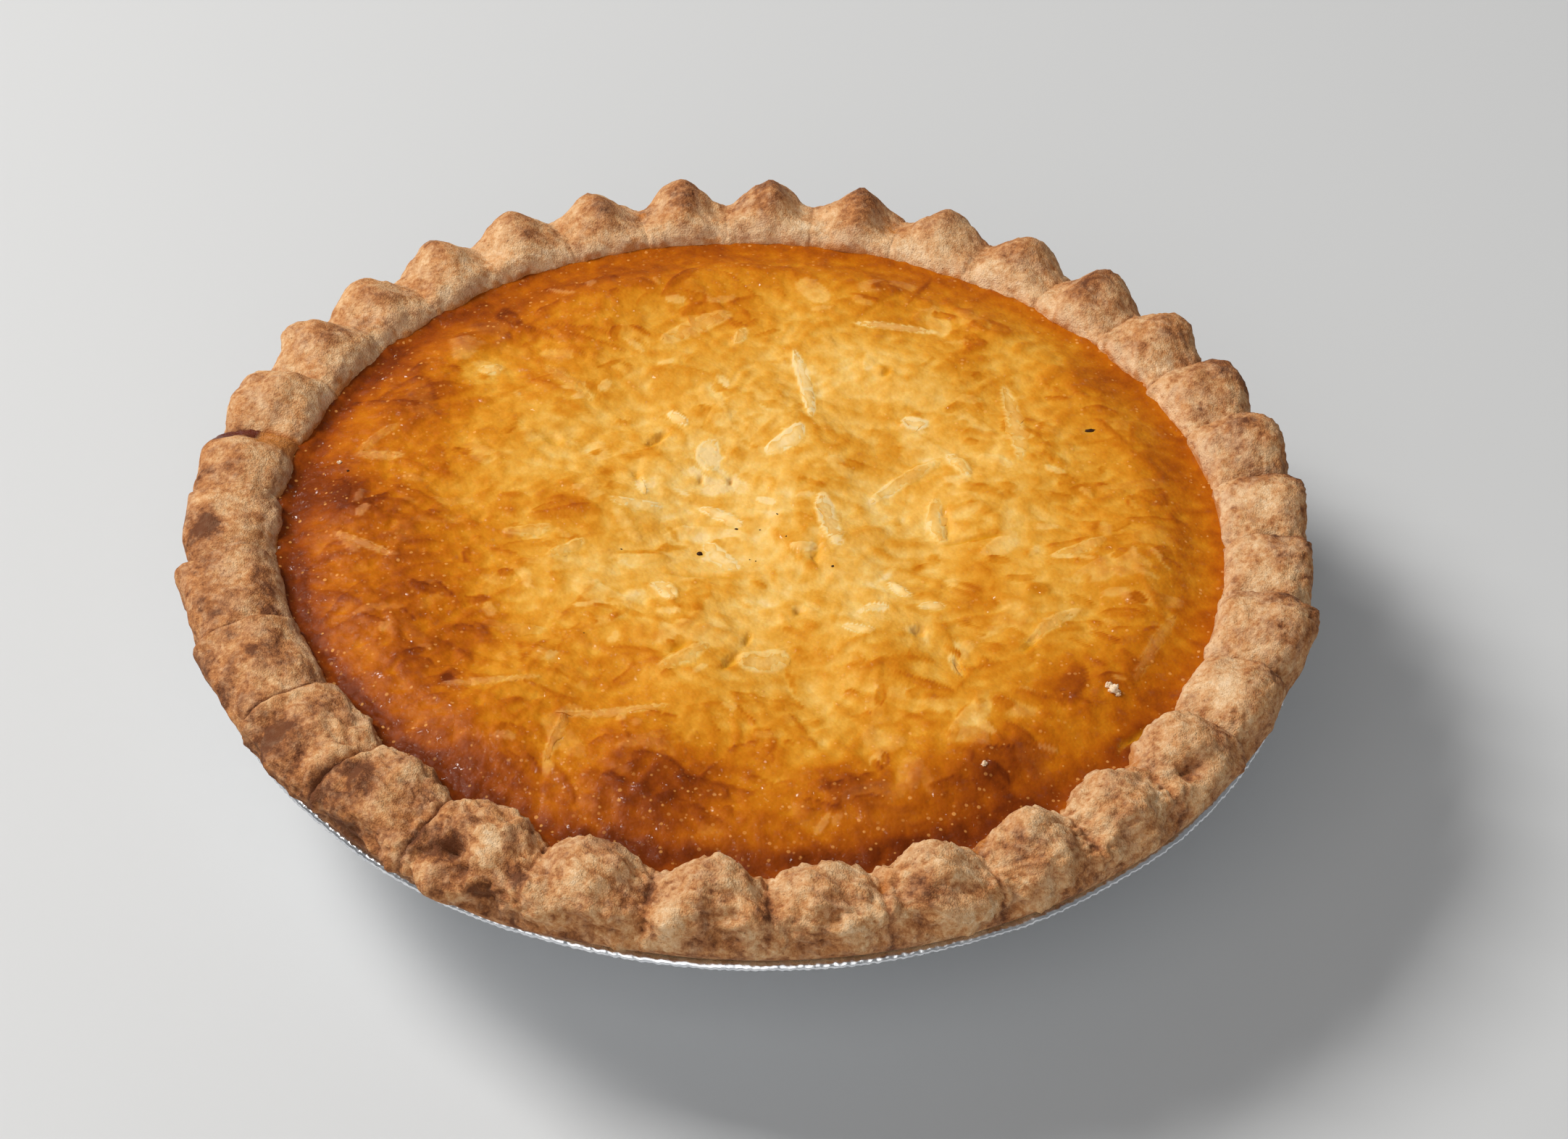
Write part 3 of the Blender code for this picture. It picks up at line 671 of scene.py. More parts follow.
# How many, and the least and most of length, width, lift and paleness. The slivers come last.
for count, *ranges in (
    (380, (3.0, 11.0), (1.3, 4.0), (0.06, 0.24), (-0.6, 0.45)),
    (420, (1.6, 5.0), (0.7, 1.7), (0.08, 0.20), (-0.9, 0.60)),
):
    for _ in range(count):
        at_r = 58.0 * math.sqrt(draw.random())
        at_angle = draw.uniform(0.0, 2.0 * math.pi)
        small = (at_r * math.cos(at_angle), at_r * math.sin(at_angle), draw.gauss(-15.0, 50.0))
        SMALL_FLAKES.append(small + tuple(draw.uniform(*limits) for limits in ranges))
print(len(FLAKES), "flakes told apart,", len(SMALL_FLAKES), "small ones,", len(HOLES), "holes")

# %% [markdown]
# The skin's height at any place. The dome comes first, as the solid has it. Then come the soft
# lumps of the custard, the swelling over each flake, which is steep on one side and soft on the
# other, and the holes. The same rule is used again to lay the coconut and the crumbs on it.

# %% Height of the skin
STEEP_SHARE = 0.28  # how much of a flake's half-width its steep side takes


def flake_mark(x, y, flake):
    """Where a flake lies, 0 to 1, and the place across it, from its soft side to its steep one."""
    at_x, at_y, heading, length, width, lift, pale = flake
    u, v = oval(x, y, at_x, at_y, length / 2.0, width / 2.0, heading)
    bow = 0.5 * math.sin(at_x * 3.0 + at_y)
    v = (v + bow * (u * u - 0.35)) / np.sqrt(np.clip(1.08 - u * u, 0.10, 1.0))
    ends = smooth((1.12 - np.abs(u)) / 0.4)
    return ends * smooth((1.0 + STEEP_SHARE - v) / STEEP_SHARE) * smooth((v + 1.35) / 0.9), v


def hole_mark(x, y, hole, crumb):
    """How far inside a hole a place lies, 0 to 1. The crumb makes its edge ragged."""
    at_x, at_y, heading, length, width, depth = hole
    u, v = oval(x, y, at_x, at_y, length / 2.0, width / 2.0, heading)
    return hump(u * u + (v + 0.5 * crumb) ** 2)


def facing(x, y, side_deg, start, width):
    """0 to 1 towards one side of the pie."""
    return smooth((np.cos(np.arctan2(y, x) - math.radians(side_deg)) + start) / width)


def custard_lumps(x, y):
    """Relief that the oven raised: larger lumps first, and the bubbles in the skin last."""
    wide = cloudy(x, y, 0.0, 8.0 * MM, 11)
    bent_x, bent_y = x + 2.5 * MM * wide, y + 2.5 * MM * cloudy(x, y, 0.0, 9.0 * MM, 15)
    falling = cloudy(bent_x + 0.5 * bent_y, 2.2 * (bent_y + 0.5 * bent_x), 0.0, 4.4 * MM, 12)
    rising = cloudy(bent_x - 0.8 * bent_y, 2.2 * (bent_y - 0.7 * bent_x), 0.0, 4.8 * MM, 16)
    crumb = cloudy(x, y, 0.0, 1.9 * MM, 13)
    bubble = cloudy(x, y, 0.0, 1.5 * MM, 14)
    return wide, np.maximum(falling, 0.85 * rising), crumb, bubble


def skin_height(x, y, lumps_here=None):
    r = np.hypot(x, y)
    inside = smooth((FILL_R - r) / (10.0 * MM))
    dome = 2.0 * MM + 0.55 * MM * cloudy(x, y, 0.0, 15.0 * MM)
    z = FILL_EDGE_Z + dome * inside - 0.9 * MM * hump(r / (24.0 * MM))
    for at_x, at_y, radius, height in BLISTERS:
        away = np.hypot(x - at_x * MM, y - at_y * MM) / (radius * MM)
        z = z + height * MM * hump(away) * inside
    wide, streak, crumb, bubble = lumps_here or custard_lumps(x, y)
    quiet = 0.35 + 0.65 * smooth((FILL_R - 2.0 * MM - r) / (5.0 * MM))
    shaded = facing(x, y, 225.0, 0.45, 0.9)
    leftward = facing(x, y, 192.0, -0.15, 0.7)
    blown = smooth((r - 22.0 * MM) / (26.0 * MM)) * (0.15 + 0.85 * leftward)
    z = z + MM * quiet * (0.13 * wide + 0.08 * streak)
    z = z + MM * (0.09 * quiet * crumb + 0.03 * bubble + 0.18 * blown * (0.3 - np.abs(bubble)))
    course = FILL_R - 0.7 * MM + 0.45 * MM * (wide + crumb)
    z = z - 0.40 * MM * shaded * hump((r - course) / (1.2 * MM))
    for flake in FLAKES + SMALL_FLAKES:
        reach = (flake[3] / 2.0 + 2.0) * MM
        nearby = (np.abs(x - flake[0] * MM) < reach) & (np.abs(y - flake[1] * MM) < reach)
        if nearby.any():
            mark, v = flake_mark(x[nearby], y[nearby], flake)
            z[nearby] += 0.52 * flake[5] * MM * mark * (0.62 + 0.38 * v)
    for hole in HOLES:
        z = z - hole[5] * MM * hole_mark(x, y, hole, crumb)
    return z


print("skin in the middle", round(float(skin_height(np.zeros(1), np.zeros(1))[0]) / MM, 1), "mm high")

# %% [markdown]
# How brown the skin is. It is palest in the sunken middle, golden further out and orange-brown
# at the edge, and the oven burnt it in places. Each place is an oval with a middle, two half
# widths, a heading and a strength, and those that stayed pale have a strength below 0. What the
# lumps raise is browner than what lies between them. The same number carries painted shade: the
# edge where the skin meets the crust is darker, most of all on the front left.

# %% How brown the skin is
BROWNED = {
    "left, burnt": (-56, 3, 4.8, 6.2, 56, 0.42),
    "left, wide": (-45, -10, 11.9, 9.1, 116, 0.21),
    "left, streak": (-25, 1, 5.8, 3.6, 130, 0.21),
    "back left": (-47, 22, 10.0, 5.9, 124, 0.21),
    "back left, pale": (-39, 30, 4.4, 3.8, 148, -0.22),
    "back left, edge": (-39, 42, 8.3, 3.8, 63, 0.20),
    "back edge": (-20, 54, 16.0, 3.6, 20, 0.25),
    "back edge, right": (17, 54, 14.1, 4.9, 168, 0.18),
    "back, pale": (14, 32, 10.2, 8.1, 163, -0.14),
    "back right, edge": (49, 37, 5.3, 8.4, 141, 0.24),
    "back right, spot": (30, 38, 3.3, 6.1, 173, 0.15),
    "right edge": (57, 16, 4.6, 7.3, 160, 0.18),
    "right, spot": (49, -1, 6.1, 3.4, 152, 0.15),
    "right edge, front": (56, -11, 4.6, 15.9, 157, 0.08),
    "right, streak": (31, -14, 5.0, 9.2, 4, 0.17),
    "front right, spot": (42, -29, 5.4, 4.1, 50, 0.32),
    "front right, edge": (53, -30, 3.8, 6.2, 28, 0.17),
    "front right, burnt": (32, -46, 10.9, 5.3, 46, 0.40),
    "front, ring": (13, -51, 6.7, 3.6, 177, 0.29),
    "front, pale": (9, -47, 3.7, 9.1, 180, -0.09),
    "front, burnt": (-12, -51, 9.6, 7.0, 159, 0.44),
    "front left, pale": (-23, -48, 3.4, 7.8, 14, -0.22),
    "front left, burnt": (-34, -47, 6.6, 3.6, 137, 0.24),
    "front left, wide": (-39, -25, 8.7, 7.0, 32, 0.16),
    "front, streak": (-18, -32, 10.4, 6.2, 43, 0.13),
    "middle, peach": (12, 17, 6.4, 3.5, 143, 0.14),
    "middle, pale": (-5, 9, 9.5, 5.3, 149, -0.15),
    "middle right, pale": (17, -12, 9.6, 3.8, 142, -0.14),
    "front of the middle, pale": (3, -24, 18.0, 11.0, 0, -0.06),
    "back left, wide": (-31, 40, 13.3, 13.6, 43, 0.10),
    "left, pale": (-30, 16, 4.4, 6.1, 177, -0.10),
    "edge, dark drop": (-13, -61, 4.0, 1.3, 170, 0.50),
    "edge, dark drop on the right": (51, -39, 3.4, 1.6, 48, 0.45),
    "fleck, right of the middle": (22.4, -7.6, 1.1, 0.8, 60, 0.40),
    "fleck, right": (38.9, -12.6, 1.6, 0.9, 20, 0.35),
    "fleck, front left": (-38.8, -33.6, 0.8, 1.3, 0, 0.55),
    "fleck, left of the middle": (-20.3, 9.2, 1.2, 1.8, 0, 0.30),
    "ring, heart": (13.4, -49.6, 2.6, 1.8, 0, 0.22),
}


def browning_and_edge_shade(x, y, lumps_here=None):
    """0 for the palest custard, 1 for dark orange-brown, and more where it is burnt."""
    r = np.hypot(x, y) / MM
    out = (r / 60.0) ** 2
    # Darker towards the edge, where the skin meets the crust: partly browning, partly painted shade
    # under the crust's overhang.
    brown = 0.17 + 0.37 * out + 0.06 * out**3 + 0.18 * np.exp(-np.maximum(63.0 - r, 0.0) / 2.5)
    brown = brown + 0.16 * np.cos(np.arctan2(y, x) - math.radians(208.0)) * out
    # A darker band along the edge on the front left: painted shade in the trough beside the crust,
    # partly browning too.
    shaded = facing(x, y, 225.0, 0.45, 0.9)
    brown = brown + 0.30 * shaded * hump((r - 62.7) / 1.7)
    for at_x, at_y, half_x, half_y, heading, strength in BROWNED.values():
        u, v = oval(x, y, at_x, at_y, half_x, half_y, heading)
        brown = brown + strength * np.exp(-(u * u + v * v))
    # The cap sits higher on the front left, so the painted shade there can go darker.
    most = 0.80 + 0.25 * shaded
    brown = np.where(brown > most, most + 0.3 * (brown - most), brown)
    wide, streak, crumb, bubble = lumps_here or custard_lumps(x, y)
    return brown + 0.065 * wide + 0.07 * streak + 0.065 * crumb + 0.03 * bubble


print(len(BROWNED), "browned or pale places")

# %% [markdown]
# The skin's mesh. A grid of squares is bent into a disc, which keeps its cells the same size
# everywhere, where rings round the middle would bunch up. Its border follows the bays between
# the flutes and dips a little into the pastry, so no gap shows. A plain underside closes it.

# %% Make the filling
CELLS = 306
SKIN_EDGE_R = FILL_R + 1.7 * MM
UNDERSIDE_RINGS = ((63.6 * MM, 28.3 * MM), (TIN_BASE_R - 4.5 * MM, 5.3 * MM))
line = np.linspace(-1.0, 1.0, CELLS + 1)
across_grid, along_grid = np.meshgrid(line, line, indexing="ij")
sideways = np.abs(across_grid) > np.abs(along_grid)
flat_one = np.where(sideways, across_grid, along_grid)
other_one = np.where(sideways, along_grid, across_grid)
share = np.divide(other_one, flat_one, out=np.zeros_like(flat_one), where=flat_one != 0)
slant = (math.pi / 4.0) * share
even = np.where(sideways, slant, math.pi / 2.0 - slant)
even = even + np.where(flat_one < 0.0, math.pi, 0.0)
disc_r = np.abs(flat_one) * SKIN_EDGE_R
disc_angle = fluted(even)
x, y = disc_r * np.cos(disc_angle), disc_r * np.sin(disc_angle)
skin_lumps = custard_lumps(x, y)
skin_z = skin_height(x, y, skin_lumps)
skin_brown = browning_and_edge_shade(x, y, skin_lumps)
shift = edge_shift(even % (2.0 * math.pi) * FLUTES / (2.0 * math.pi), disc_angle)
shifted_r = disc_r + shift * smooth((disc_r - FILL_R) / (4.0 * MM) + 1.0)

index = np.arange(x.size).reshape(x.shape)
border = sheet_border(index)
points = [round_the_pie(shifted_r, disc_angle, skin_z).reshape(-1, 3)]
faces = sheet_faces(index).tolist()
upper_ring, start = border, x.size
for radius, height in UNDERSIDE_RINGS:
    points.append(round_the_pie(radius, disc_angle.ravel()[border], height))
    lower_ring = start + np.arange(len(border))
    for i in range(len(border)):
        j = (i + 1) % len(border)
        faces.append([upper_ring[i], lower_ring[i], lower_ring[j], upper_ring[j]])
    upper_ring, start = lower_ring, start + len(border)
faces.append(upper_ring[::-1].tolist())
filling = show("filling_baked", np.concatenate(points), faces, ["filling"])
print("filling faces", len(faces), "skin up to", round(skin_z.max() / MM, 1), "mm")

# %% [markdown]
# What the skin's finish needs to know at each vertex: how brown it is, painted shade included, how
# much coconut lies just under it, and where a hole shows the wet custard below. Flakes overlap, and
# each is a little paler or browner than the next. Along the raised steep side of one that custard
# covers runs a darker line, partly browning and partly a painted shadow of the step.

# %% Store the skin's browning and painted shade, coconut and holes
coconut = np.zeros_like(x)
crest = np.zeros_like(x)
tint = np.zeros_like(x)
for flake in SMALL_FLAKES + FLAKES:
    mark, v = flake_mark(x, y, flake)
    covers = smooth(1.5 * mark)
    coconut = coconut + covers * (max(flake[6], 0.0) - coconut)
    tint = tint + covers * (-0.19 * flake[6] - tint)
    crest = np.maximum(crest, mark * hump((v - 0.85) / 0.35) * (1.0 - flake[6]))
# The darker line along each flake's steep side: partly browning, partly painted shadow of the step.
skin_brown = skin_brown + tint + 0.10 * crest * smooth((skin_brown - 0.15) / 0.3)
wet = np.zeros_like(x)
for hole in HOLES:
    wet = np.maximum(wet, hole_mark(x, y, hole, skin_lumps[2]))
for name, values, unseen in (("brown", skin_brown, 0.5), ("coconut", coconut, 0.0), ("wet", wet, 0.0)):
    note(filling, name, np.pad(values.ravel(), (0, 2 * len(border)), constant_values=unseen))
print("browning_and_edge_shade", round(float(skin_brown.min()), 2), "to", round(float(skin_brown.max()), 2))

# %% [markdown]
# Finish of the custard. It is moist and a little see-through, so light enters it and comes out
# nearby. Its colour runs along one scale, from pale yellow through gold to burnt orange-brown,
# and tiny pale dots crowd where it is brown: partly bubbles, partly painted glints. On top lies a
# thin film of fat, which gathers in small pools on the browner skin. Only the pools really shine:
# a gloss all over would lay a grey veil on the colour.

# %% Baked custard finish
CUSTARD_SCALE = (
    (0.000, (240, 204, 138)), (0.066, (237, 192, 106)), (0.144, (232, 177, 82)),
    (0.224, (224, 161, 58)), (0.304, (216, 145, 38)), (0.389, (206, 129, 22)),
    (0.472, (196, 114, 12)), (0.552, (185, 100, 6)), (0.632, (171, 87, 5)),
    (0.712, (156, 75, 5)), (0.800, (139, 62, 5)), (0.920, (110, 44, 4)),
)


def custard_finish(name, softness):
    """Custard as it bakes. The softness is the share of light that goes in and comes out nearby."""
    it = Finish(
        name, Specular_IOR_Level=0.07, Coat_Roughness=0.05, Subsurface_Weight=softness,
        Subsurface_Radius=(1.0, 0.5, 0.2), Subsurface_Scale=0.9 * MM,
    )
    amount = it.line(it.grain(1.6, 3.0), 0.20, it.said("brown"))
    amount = it.line(it.grain(0.6), 0.10, amount)
    flaky = it.line(it.grain(0.9), 0.7, it.said("coconut"), clamp=True)
    flaky = it.times(flaky, it.said("coconut"), clamp=True)
    amount = it.line(flaky, -0.16, amount)
    colour = it.scale_of_colours(it.work("DIVIDE", amount, 1.25, clamp=True), *CUSTARD_SCALE)
    colour = it.laid_over(flaky, 0.38, colour, (250, 223, 170))
    # Tiny pale round dots a little under 1 mm apart, more where the skin is brown: partly bubbles,
    # partly painted glints.
    cells = it.dots(0.80)
    sizes = it.put("ShaderNodeSeparateColor", {"Color": cells.outputs["Color"]})
    radius = it.line(sizes.outputs[0], 0.46, -0.06)
    dots = it.times(it.work("SUBTRACT", radius, cells.outputs["Distance"]), 8.0, clamp=True)
    many = it.line(it.grain(4.0, 3.0), 4.5, it.said("brown"), clamp=True)
    dots = it.times(it.times(dots, many), sizes.outputs[1])
    colour = it.laid_over(dots, 0.60, colour, (246, 178, 98))
    colour = it.laid_over(it.said("wet"), 0.6, colour, (214, 150, 22))
    it.wire(colour, "Base Color")
    it.wire(it.line(it.grain(0.8), 0.30, 0.50, clamp=True), "Roughness")
    bubbly = it.line(it.dots(0.6).outputs["Distance"], -0.30, it.times(dots, 0.2))
    bubbly = it.line(it.grain(1.1), 0.45, bubbly)
    it.dimple(it.times(bubbly, it.line(flaky, -0.5, 1.0)), 0.18)
    # The film of fat is more rippled than the skin under it.
    blown = it.line(it.said("brown"), 1.4, 0.3, clamp=True)
    it.dimple(it.times(it.grain(1.0, 1.0), blown), 0.70, name="Coat Normal")
    pools = it.times(it.line(it.grain(1.6, 4.0), 9.0, -0.9, clamp=True), blown)
    it.wire(it.line(pools, 0.75, 0.05), "Coat Weight")
    return it


custard_finish("baked_custard", 0.30).give(filling)

# %% [markdown]
# Shreds of coconut. The larger ones break the skin here and there, so they are real strips: a
# thin, slightly curled sheet that follows the skin, mostly sunk in it, with one long edge and
# the middle standing proud. All taper to their ends, some to a point and some bluntly, and
# their edges are ragged. They wear the custard's finish, since they were baked with it, but
# hardly let light in, because a strip this thin would lose the red of it and turn green.

# %% Make the coconut shreds
STRIP_ALONG, STRIP_ACROSS = ((14, 4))
STRIP_THICK = 0.45 * MM
STRIP_SPREAD = 0.25 * MM  # how much wider the hidden underside is
draw = random.Random(SEED + 2)
u, v = np.meshgrid(
    np.linspace(-1.0, 1.0, STRIP_ALONG), np.linspace(-1.0, 1.0, STRIP_ACROSS), indexing="ij"
)
strip_points, strip_proud, strip_pale = [], [], []
for at_x, at_y, heading, length, width, lift, pale in FLAKES:
    turned = math.radians(heading)
    blunt = draw.choice((1.0, 1.3, 1.7, 2.3))
    taper = 0.10 + 0.90 * np.clip(1.0 - np.abs(u) ** blunt, 0.0, 1.0) ** 0.6
    taper = taper * (1.0 + 0.40 * u * math.sin(at_x))
    bow = -0.5 * math.sin(at_x * 3.0 + at_y) * (u * u - 0.35)
    ragged = 1.0 + 0.60 * cloudy(u * length / 2.0 + at_x, v + at_y, 0.0, 1.3, 31)
    along = u * length / 2.0
    across = (v * taper * ragged + bow) * width / 2.0
    px = at_x + math.cos(turned) * along - math.sin(turned) * across
    py = at_y + math.sin(turned) * along + math.cos(turned) * across
    proud = 0.28 * lift * (0.60 - 0.80 * u * u) * (0.75 + 0.35 * v - 0.40 * v * v)
    strip_points.append(np.stack([px * MM, py * MM], axis=-1))
    strip_proud.append((proud + draw.uniform(-0.02, 0.01)) * MM)
    strip_pale.append(0.04 + 0.95 * pale * (1.0 - 0.55 * v * v) * (1.0 - 0.50 * u * u))
flat = np.stack(strip_points)
strip_lumps = custard_lumps(flat[..., 0], flat[..., 1])
strip_z = skin_height(flat[..., 0], flat[..., 1], strip_lumps) + np.stack(strip_proud)
strip_brown = browning_and_edge_shade(flat[..., 0], flat[..., 1], strip_lumps)
tops = np.concatenate([flat, strip_z[..., None]], axis=-1)
unders = tops - np.array([0.0, 0.0, STRIP_THICK])
away = flat - np.array([flake[:2] for flake in FLAKES])[:, None, None, :] * MM
unders[..., :2] += away / np.maximum(np.linalg.norm(away, axis=-1, keepdims=True), 1e-6) * STRIP_SPREAD
each = STRIP_ALONG * STRIP_ACROSS
cell = np.arange(each).reshape(STRIP_ALONG, STRIP_ACROSS)
top_quads = sheet_faces(cell)
edge_loop = sheet_border(cell)
one_strip = [*top_quads.tolist(), *(top_quads[:, ::-1] + each).tolist()]
for i, here in enumerate(edge_loop):
    following = edge_loop[(i + 1) % len(edge_loop)]
    one_strip.append([here, here + each, following + each, following])
strip_faces = []
for number in range(len(FLAKES)):
    strip_faces += [[corner + 2 * each * number for corner in face] for face in one_strip]


def top_and_under(first, second=None):
    """One value after the other for each strip: first for its top, then for its underside."""
    both = [first, first if second is None else second]
    return np.concatenate([values.reshape(len(FLAKES), each, -1) for values in both], axis=1)


shreds = show("coconut_shreds", top_and_under(tops, unders), strip_faces)
shreds.data.set_sharp_from_angle(angle=math.radians(35.0))
note(shreds, "brown", top_and_under(strip_brown))
note(shreds, "coconut", top_and_under(np.stack(strip_pale)))
note(shreds, "wet", top_and_under(np.zeros_like(strip_brown)))
custard_finish("coconut_in_custard", 0.0).give(shreds)
print(len(FLAKES), "shreds,", len(strip_faces), "faces")

# %% [markdown]
# Small things on the skin: dark specks, one of them a flat chip, and a few white crumbs. Dots
# of colour would do from afar, but close up a crumb casts a shadow. So each is a little ball,
# pushed out of shape and pressed into the skin. All of a kind are one piece.

# %% Make the specks and crumbs
SPECKS = (  # place, length, width and heading
    (-7.0, -5.9, 0.85, 0.70, 20), (-2.2, -0.8, 0.50, 0.35, -10), (46.6, 21.8, 1.50, 0.75, 12),
    (11.0, -8.6, 0.42, 0.35, 0), (1.0, -1.0, 0.26, 0.20, 40), (4.6, -2.8, 0.28, 0.20, 80),
    (0.6, -7.2, 0.22, 0.18, 30), (-0.2, -6.9, 0.22, 0.18, 30), (3.3, 1.6, 0.50, 0.18, -50),
    (-17.6, -6.4, 0.35, 0.22, -20), (-21.6, -23.8, 0.24, 0.20, 0), (-56.0, 7.4, 0.45, 0.35, 0),
)
CRUMBS = (  # place and length
    (48.2, -30.6, 1.4), (47.5, -30.0, 0.9), (48.7, -31.2, 0.7), (31.0, -46.2, 0.8),
    (-57.4, 9.6, 0.6),
)


def pressed_balls(name, places, rough, fineness):
    """Little balls pushed out of shape, at places of x, y, length, width, height and heading in mm."""
    made = bmesh.new()
    for seed, (at_x, at_y, length, width, height, heading) in enumerate(places):
        floor_z = float(skin_height(np.array([at_x * MM]), np.array([at_y * MM]))[0])
        size = Matrix.Diagonal((length * MM / 2, width * MM / 2, height * MM / 2, 1.0))
        place = Matrix.Translation((at_x * MM, at_y * MM, floor_z + 0.15 * height * MM))
        place = place @ Matrix.Rotation(math.radians(heading), 4, "Z") @ size
        shift = Vector((seed * 5.0, 0.0, 0.0))
        ball = bmesh.ops.create_icosphere(made, subdivisions=fineness, radius=1.0)
        for vertex in ball["verts"]:
            vertex.co *= 1.0 + rough * 2.0 * noise.noise(vertex.co * 1.7 + shift)
            vertex.co = place @ vertex.co
    made.verts.index_update()
    points = [tuple(vertex.co) for vertex in made.verts]
    faces = [[vertex.index for vertex in face.verts] for face in made.faces]
    made.free()
    return show(name, points, faces)


speck_places = [(x, y, long, wide, 0.5 * wide, turned) for x, y, long, wide, turned in SPECKS]
specks = pressed_balls("dark_specks", speck_places, 0.2, 2)
crumb_places = [(x, y, long, 0.85 * long, 0.8 * long, 30) for x, y, long in CRUMBS]
crumbs = pressed_balls("white_crumbs", crumb_places, 0.45, 3)

charred = Finish("charred_speck", Specular_IOR_Level=0.1)
tone = charred.work("ADD", charred.grain(0.3), 0.5)
charred.wire(charred.scale_of_colours(tone, (0.0, (28, 14, 8)), (1.0, (78, 44, 20))), "Base Color")
charred.wire(charred.work("ADD", charred.grain(0.2), 0.5), "Roughness")
charred.give(specks)

floury = Finish("white_crumb", Roughness=0.8)
tone = floury.work("ADD", floury.grain(0.5), 0.5)
colour = floury.scale_of_colours(tone, (0.2, (226, 186, 142)), (0.8, (246, 226, 198)))
floury.wire(colour, "Base Color")
floury.dimple(floury.grain(0.3), 0.1)
floury.give(crumbs)
print(len(SPECKS), "specks and", len(CRUMBS), "crumbs")

# %% [markdown]
# The foil tin. It is pressed from thin sheet, which leaves pleats down its side, and its edge is
# rolled over and crimped into fine slanting ribs. A profile turned round the middle gives both,
# and waves along the turn press the pleats and ribs into it. The pan and the rolled edge are two
# pieces, since the ribs need far more points than the rest.

# %% Make the foil tin
PAN_STEPS = TIN_PLEATS * 14
EDGE_RIBS = 430
EDGE_STEPS = EDGE_RIBS * 5
ROLL_R, ROLL_HALF_WIDTH, ROLL_HALF_HEIGHT = 74.35 * MM, 1.05 * MM, 0.62 * MM
ROLL_POINTS = 14


def between(stops, pieces):
    """Points along a line of stops, each stretch cut into equal pieces."""
    found = []
    for (r0, z0), (r1, z1), count in zip(stops, stops[1:], pieces):
        found += [(r0 + (r1 - r0) * i / count, z0 + (z1 - z0) * i / count) for i in range(count)]
    return [*found, stops[-1]]


# The section of the pan in millimetres: along its inside, and back along its outside.
inner = between(
    [(30.0, 0.5), (47.6, 0.5), (49.5, 1.0), (66.1, 25.3), (67.2, 25.5), (73.2, 25.5)], [3, 2, 16, 2, 4]
)
outer = between(
    [(73.2, 25.1), (67.0, 25.1), (66.5, 24.8), (50.6, 1.0), (49.4, 0.0), (47.4, 0.0), (30.0, 0.0)],
    [4, 1, 16, 2, 2, 3],
)
pan_line = np.array(inner + outer) * MM
pan_angles = np.linspace(0.0, 2.0 * math.pi, PAN_STEPS, endpoint=False)
pan_angle, pan_r = np.meshgrid(pan_angles, pan_line[:, 0], indexing="ij")
pan_z = np.broadcast_to(pan_line[:, 1], pan_r.shape)
wave = np.cos(TIN_PLEATS * pan_angle)
wave = np.sign(wave) * np.abs(wave) ** 0.7
on_wall = smooth((pan_z - 2.0 * MM) / (8.0 * MM))
on_flange = smooth((pan_r - TIN_MOUTH_R) / (3.0 * MM))
crinkle = cloudy(pan_r * np.cos(pan_angle), pan_r * np.sin(pan_angle), pan_z, 6.0 * MM, 21)
pan_r = pan_r + (TIN_PLEAT_DEPTH * wave + 0.10 * MM * crinkle) * on_wall * (1.0 - on_flange)
pan_z = pan_z + 0.5 * TIN_PLEAT_DEPTH * wave * on_flange
pan_z = pan_z + 0.25 * MM * (hump((pan_r - 40.0 * MM) / MM) * (pan_z < 2.0 * MM))
pan_faces = ring_faces(*pan_r.shape)
pan = round_the_pie(pan_r, pan_angle, pan_z)
foil_pan = show("foil_pan", pan, pan_faces, ["foil_tin"])

roll = np.linspace(0.0, 2.0 * math.pi, ROLL_POINTS, endpoint=False)
edge_angles = np.linspace(0.0, 2.0 * math.pi, EDGE_STEPS, endpoint=False)
edge_angle, roll_angle = np.meshgrid(edge_angles, -roll, indexing="ij")
rib = np.cos(EDGE_RIBS * edge_angle + 1.6 * roll_angle)
swell = 1.0 + 0.05 * rib + 0.05 * np.cos(3.0 * roll_angle + 40.0 * np.sin(edge_angle * 7.0))
edge_r = ROLL_R + ROLL_HALF_WIDTH * np.cos(roll_angle) * swell
edge_z = TIN_DEPTH - 0.15 * MM + ROLL_HALF_HEIGHT * np.sin(roll_angle) * swell
edge_r = edge_r + 0.12 * MM * cloudy(edge_angle * 6.0, 0.0, 0.0, 1.0, 22)
edge_faces = ring_faces(*edge_r.shape, closed=True)
rolled = round_the_pie(edge_r, edge_angle, edge_z)
rolled_edge = show("foil_rolled_edge", rolled, edge_faces)
print("pan", len(pan_faces), "faces, rolled edge", len(edge_faces), "with", EDGE_RIBS, "ribs")

# %% [markdown]
# Finish of the foil: bare bright aluminium. Real foil is never a clean mirror. Its roughness
# varies in soft patches, fine rolling lines run along the sheet, and small creases break up
# what it reflects.

# %% Foil finish
foil = Finish("bright_foil", Metallic=1.0)
tone = foil.work("ADD", foil.grain(3.0, 3.0), 0.5)
colour = foil.scale_of_colours(tone, (0.3, (214, 218, 224)), (0.7, (240, 242, 245)))
foil.wire(colour, "Base Color")
foil.wire(foil.line(foil.grain(1.6, 3.0), 0.35, 0.26, clamp=True), "Roughness")
rolling = foil.grain(1.2, 3.0, (0.15, 1.0, 1.0))
foil.dimple(foil.line(foil.grain(2.2, 4.0), 2.0, rolling), 0.12, 0.6)
foil.give(foil_pan, rolled_edge)

# %% [markdown]
# A plain pale floor under the pie. It isn't part of it, so it is only staged.

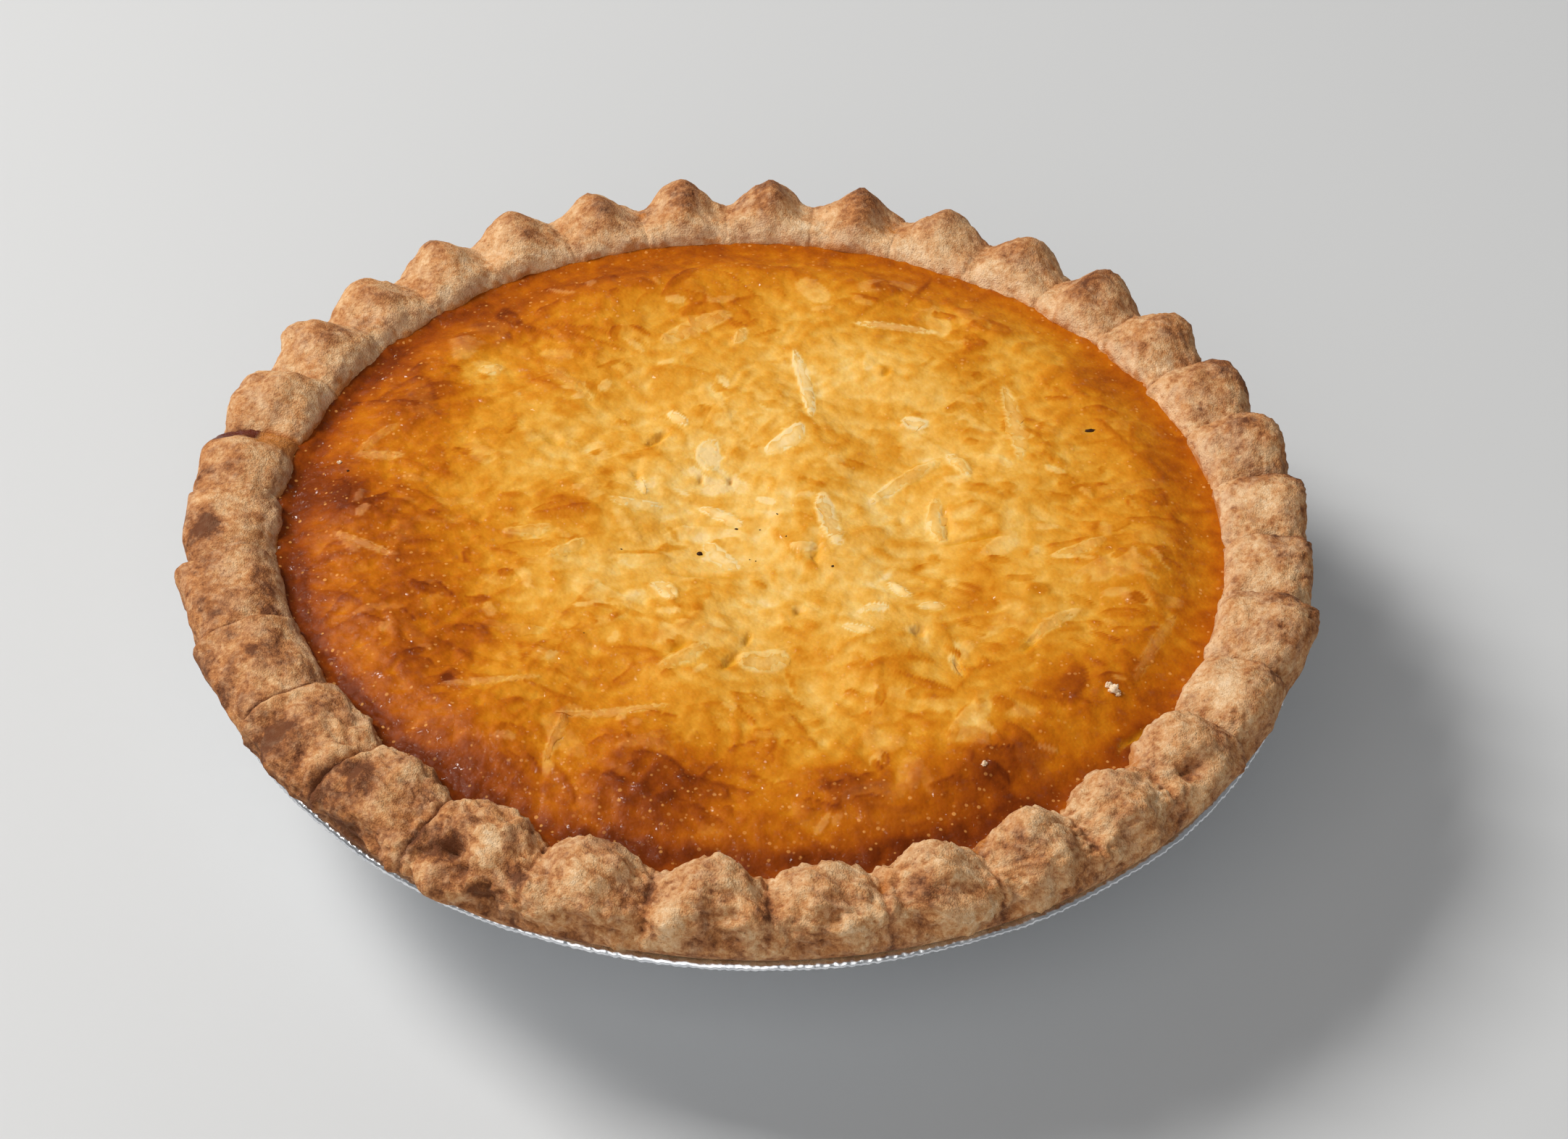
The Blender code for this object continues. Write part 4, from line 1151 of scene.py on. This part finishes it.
# %% Floor
bpy.ops.mesh.primitive_plane_add(size=6.0, location=(0.0, 0.0, -0.2 * MM))
floor = bpy.context.object
floor.name = "floor"
Finish("pale_floor", Base_Color=linear(206, 208, 210), Roughness=0.6).give(floor)

# %% [markdown]
# Soft daylight. One lamp stands behind the pie on the left, as a window does: it brings out the
# gloss of the custard and throws the rim's soft shadow to the right. A wide weak one in front
# keeps the near side of the crust from going dark. The sky is only faint, because custard would
# mirror it as a grey veil over its brown places.

# %% Light
def lamp(name, place, size, power, colour):
    light = bpy.data.lights.new(name, "AREA")
    light.shape = "SQUARE"
    light.size = size
    light.energy = power
    light.color = colour
    lit = bpy.data.objects.new(name, light)
    lit.location = place
    lit.rotation_euler = (-Vector(place)).to_track_quat("-Z", "Y").to_euler()
    bpy.context.scene.collection.objects.link(lit)
    return lit


lamp("window", (-0.86, 0.34, 1.00), 0.5, 18.0, (1.0, 0.97, 0.93))
lamp("room", (-0.20, -1.00, 0.80), 1.2, 6.0, (1.0, 0.98, 0.95))
world = bpy.data.worlds.new("grey_sky")
world.use_nodes = True
sky = world.node_tree.nodes["Background"]
sky.inputs["Color"].default_value = (1.0, 1.0, 1.0, 1.0)
sky.inputs["Strength"].default_value = 0.20
bpy.context.scene.world = world
bpy.context.scene.view_settings.view_transform = "Standard"
print("light ready")

# %% [markdown]
# The camera looks down at 42 degrees from the front, through a long lens, with a slight tilt.
# Its place was worked out from the circles of the rim and the filling as the photograph shows
# them, so a render can be laid over it.

# %% Camera
LIFT_DEG, TILT_DEG, FOCAL_PX, IMAGE_WIDTH = 41.76, 2.18, 5686.0, 2164.0
AIM_HEIGHT, DISTANCE, TO_THE_RIGHT, DOWNWARDS = 30.0, 563.4, 4.315, 4.353  # in millimetres
lift, tilt = math.radians(LIFT_DEG), math.radians(TILT_DEG)
backwards = Vector((0.0, -math.cos(lift), math.sin(lift)))
rightwards = Vector((1.0, 0.0, 0.0))
upwards = backwards.cross(rightwards)
rightwards, upwards = (
    math.cos(tilt) * rightwards + math.sin(tilt) * upwards,
    -math.sin(tilt) * rightwards + math.cos(tilt) * upwards,
)
camera = bpy.data.objects.new("camera", bpy.data.cameras.new("camera"))
bpy.context.scene.collection.objects.link(camera)
seat = Matrix((rightwards, upwards, backwards)).transposed().to_4x4()
place = Vector((0.0, 0.0, AIM_HEIGHT)) + DISTANCE * backwards
place = place + TO_THE_RIGHT * rightwards - DOWNWARDS * upwards
seat.translation = place * MM
camera.matrix_world = seat
camera.data.sensor_width = 36.0
camera.data.lens = FOCAL_PX / IMAGE_WIDTH * 36.0
camera.data.clip_start = 0.01
bpy.context.scene.camera = camera
print("lens", round(camera.data.lens, 1), "mm")
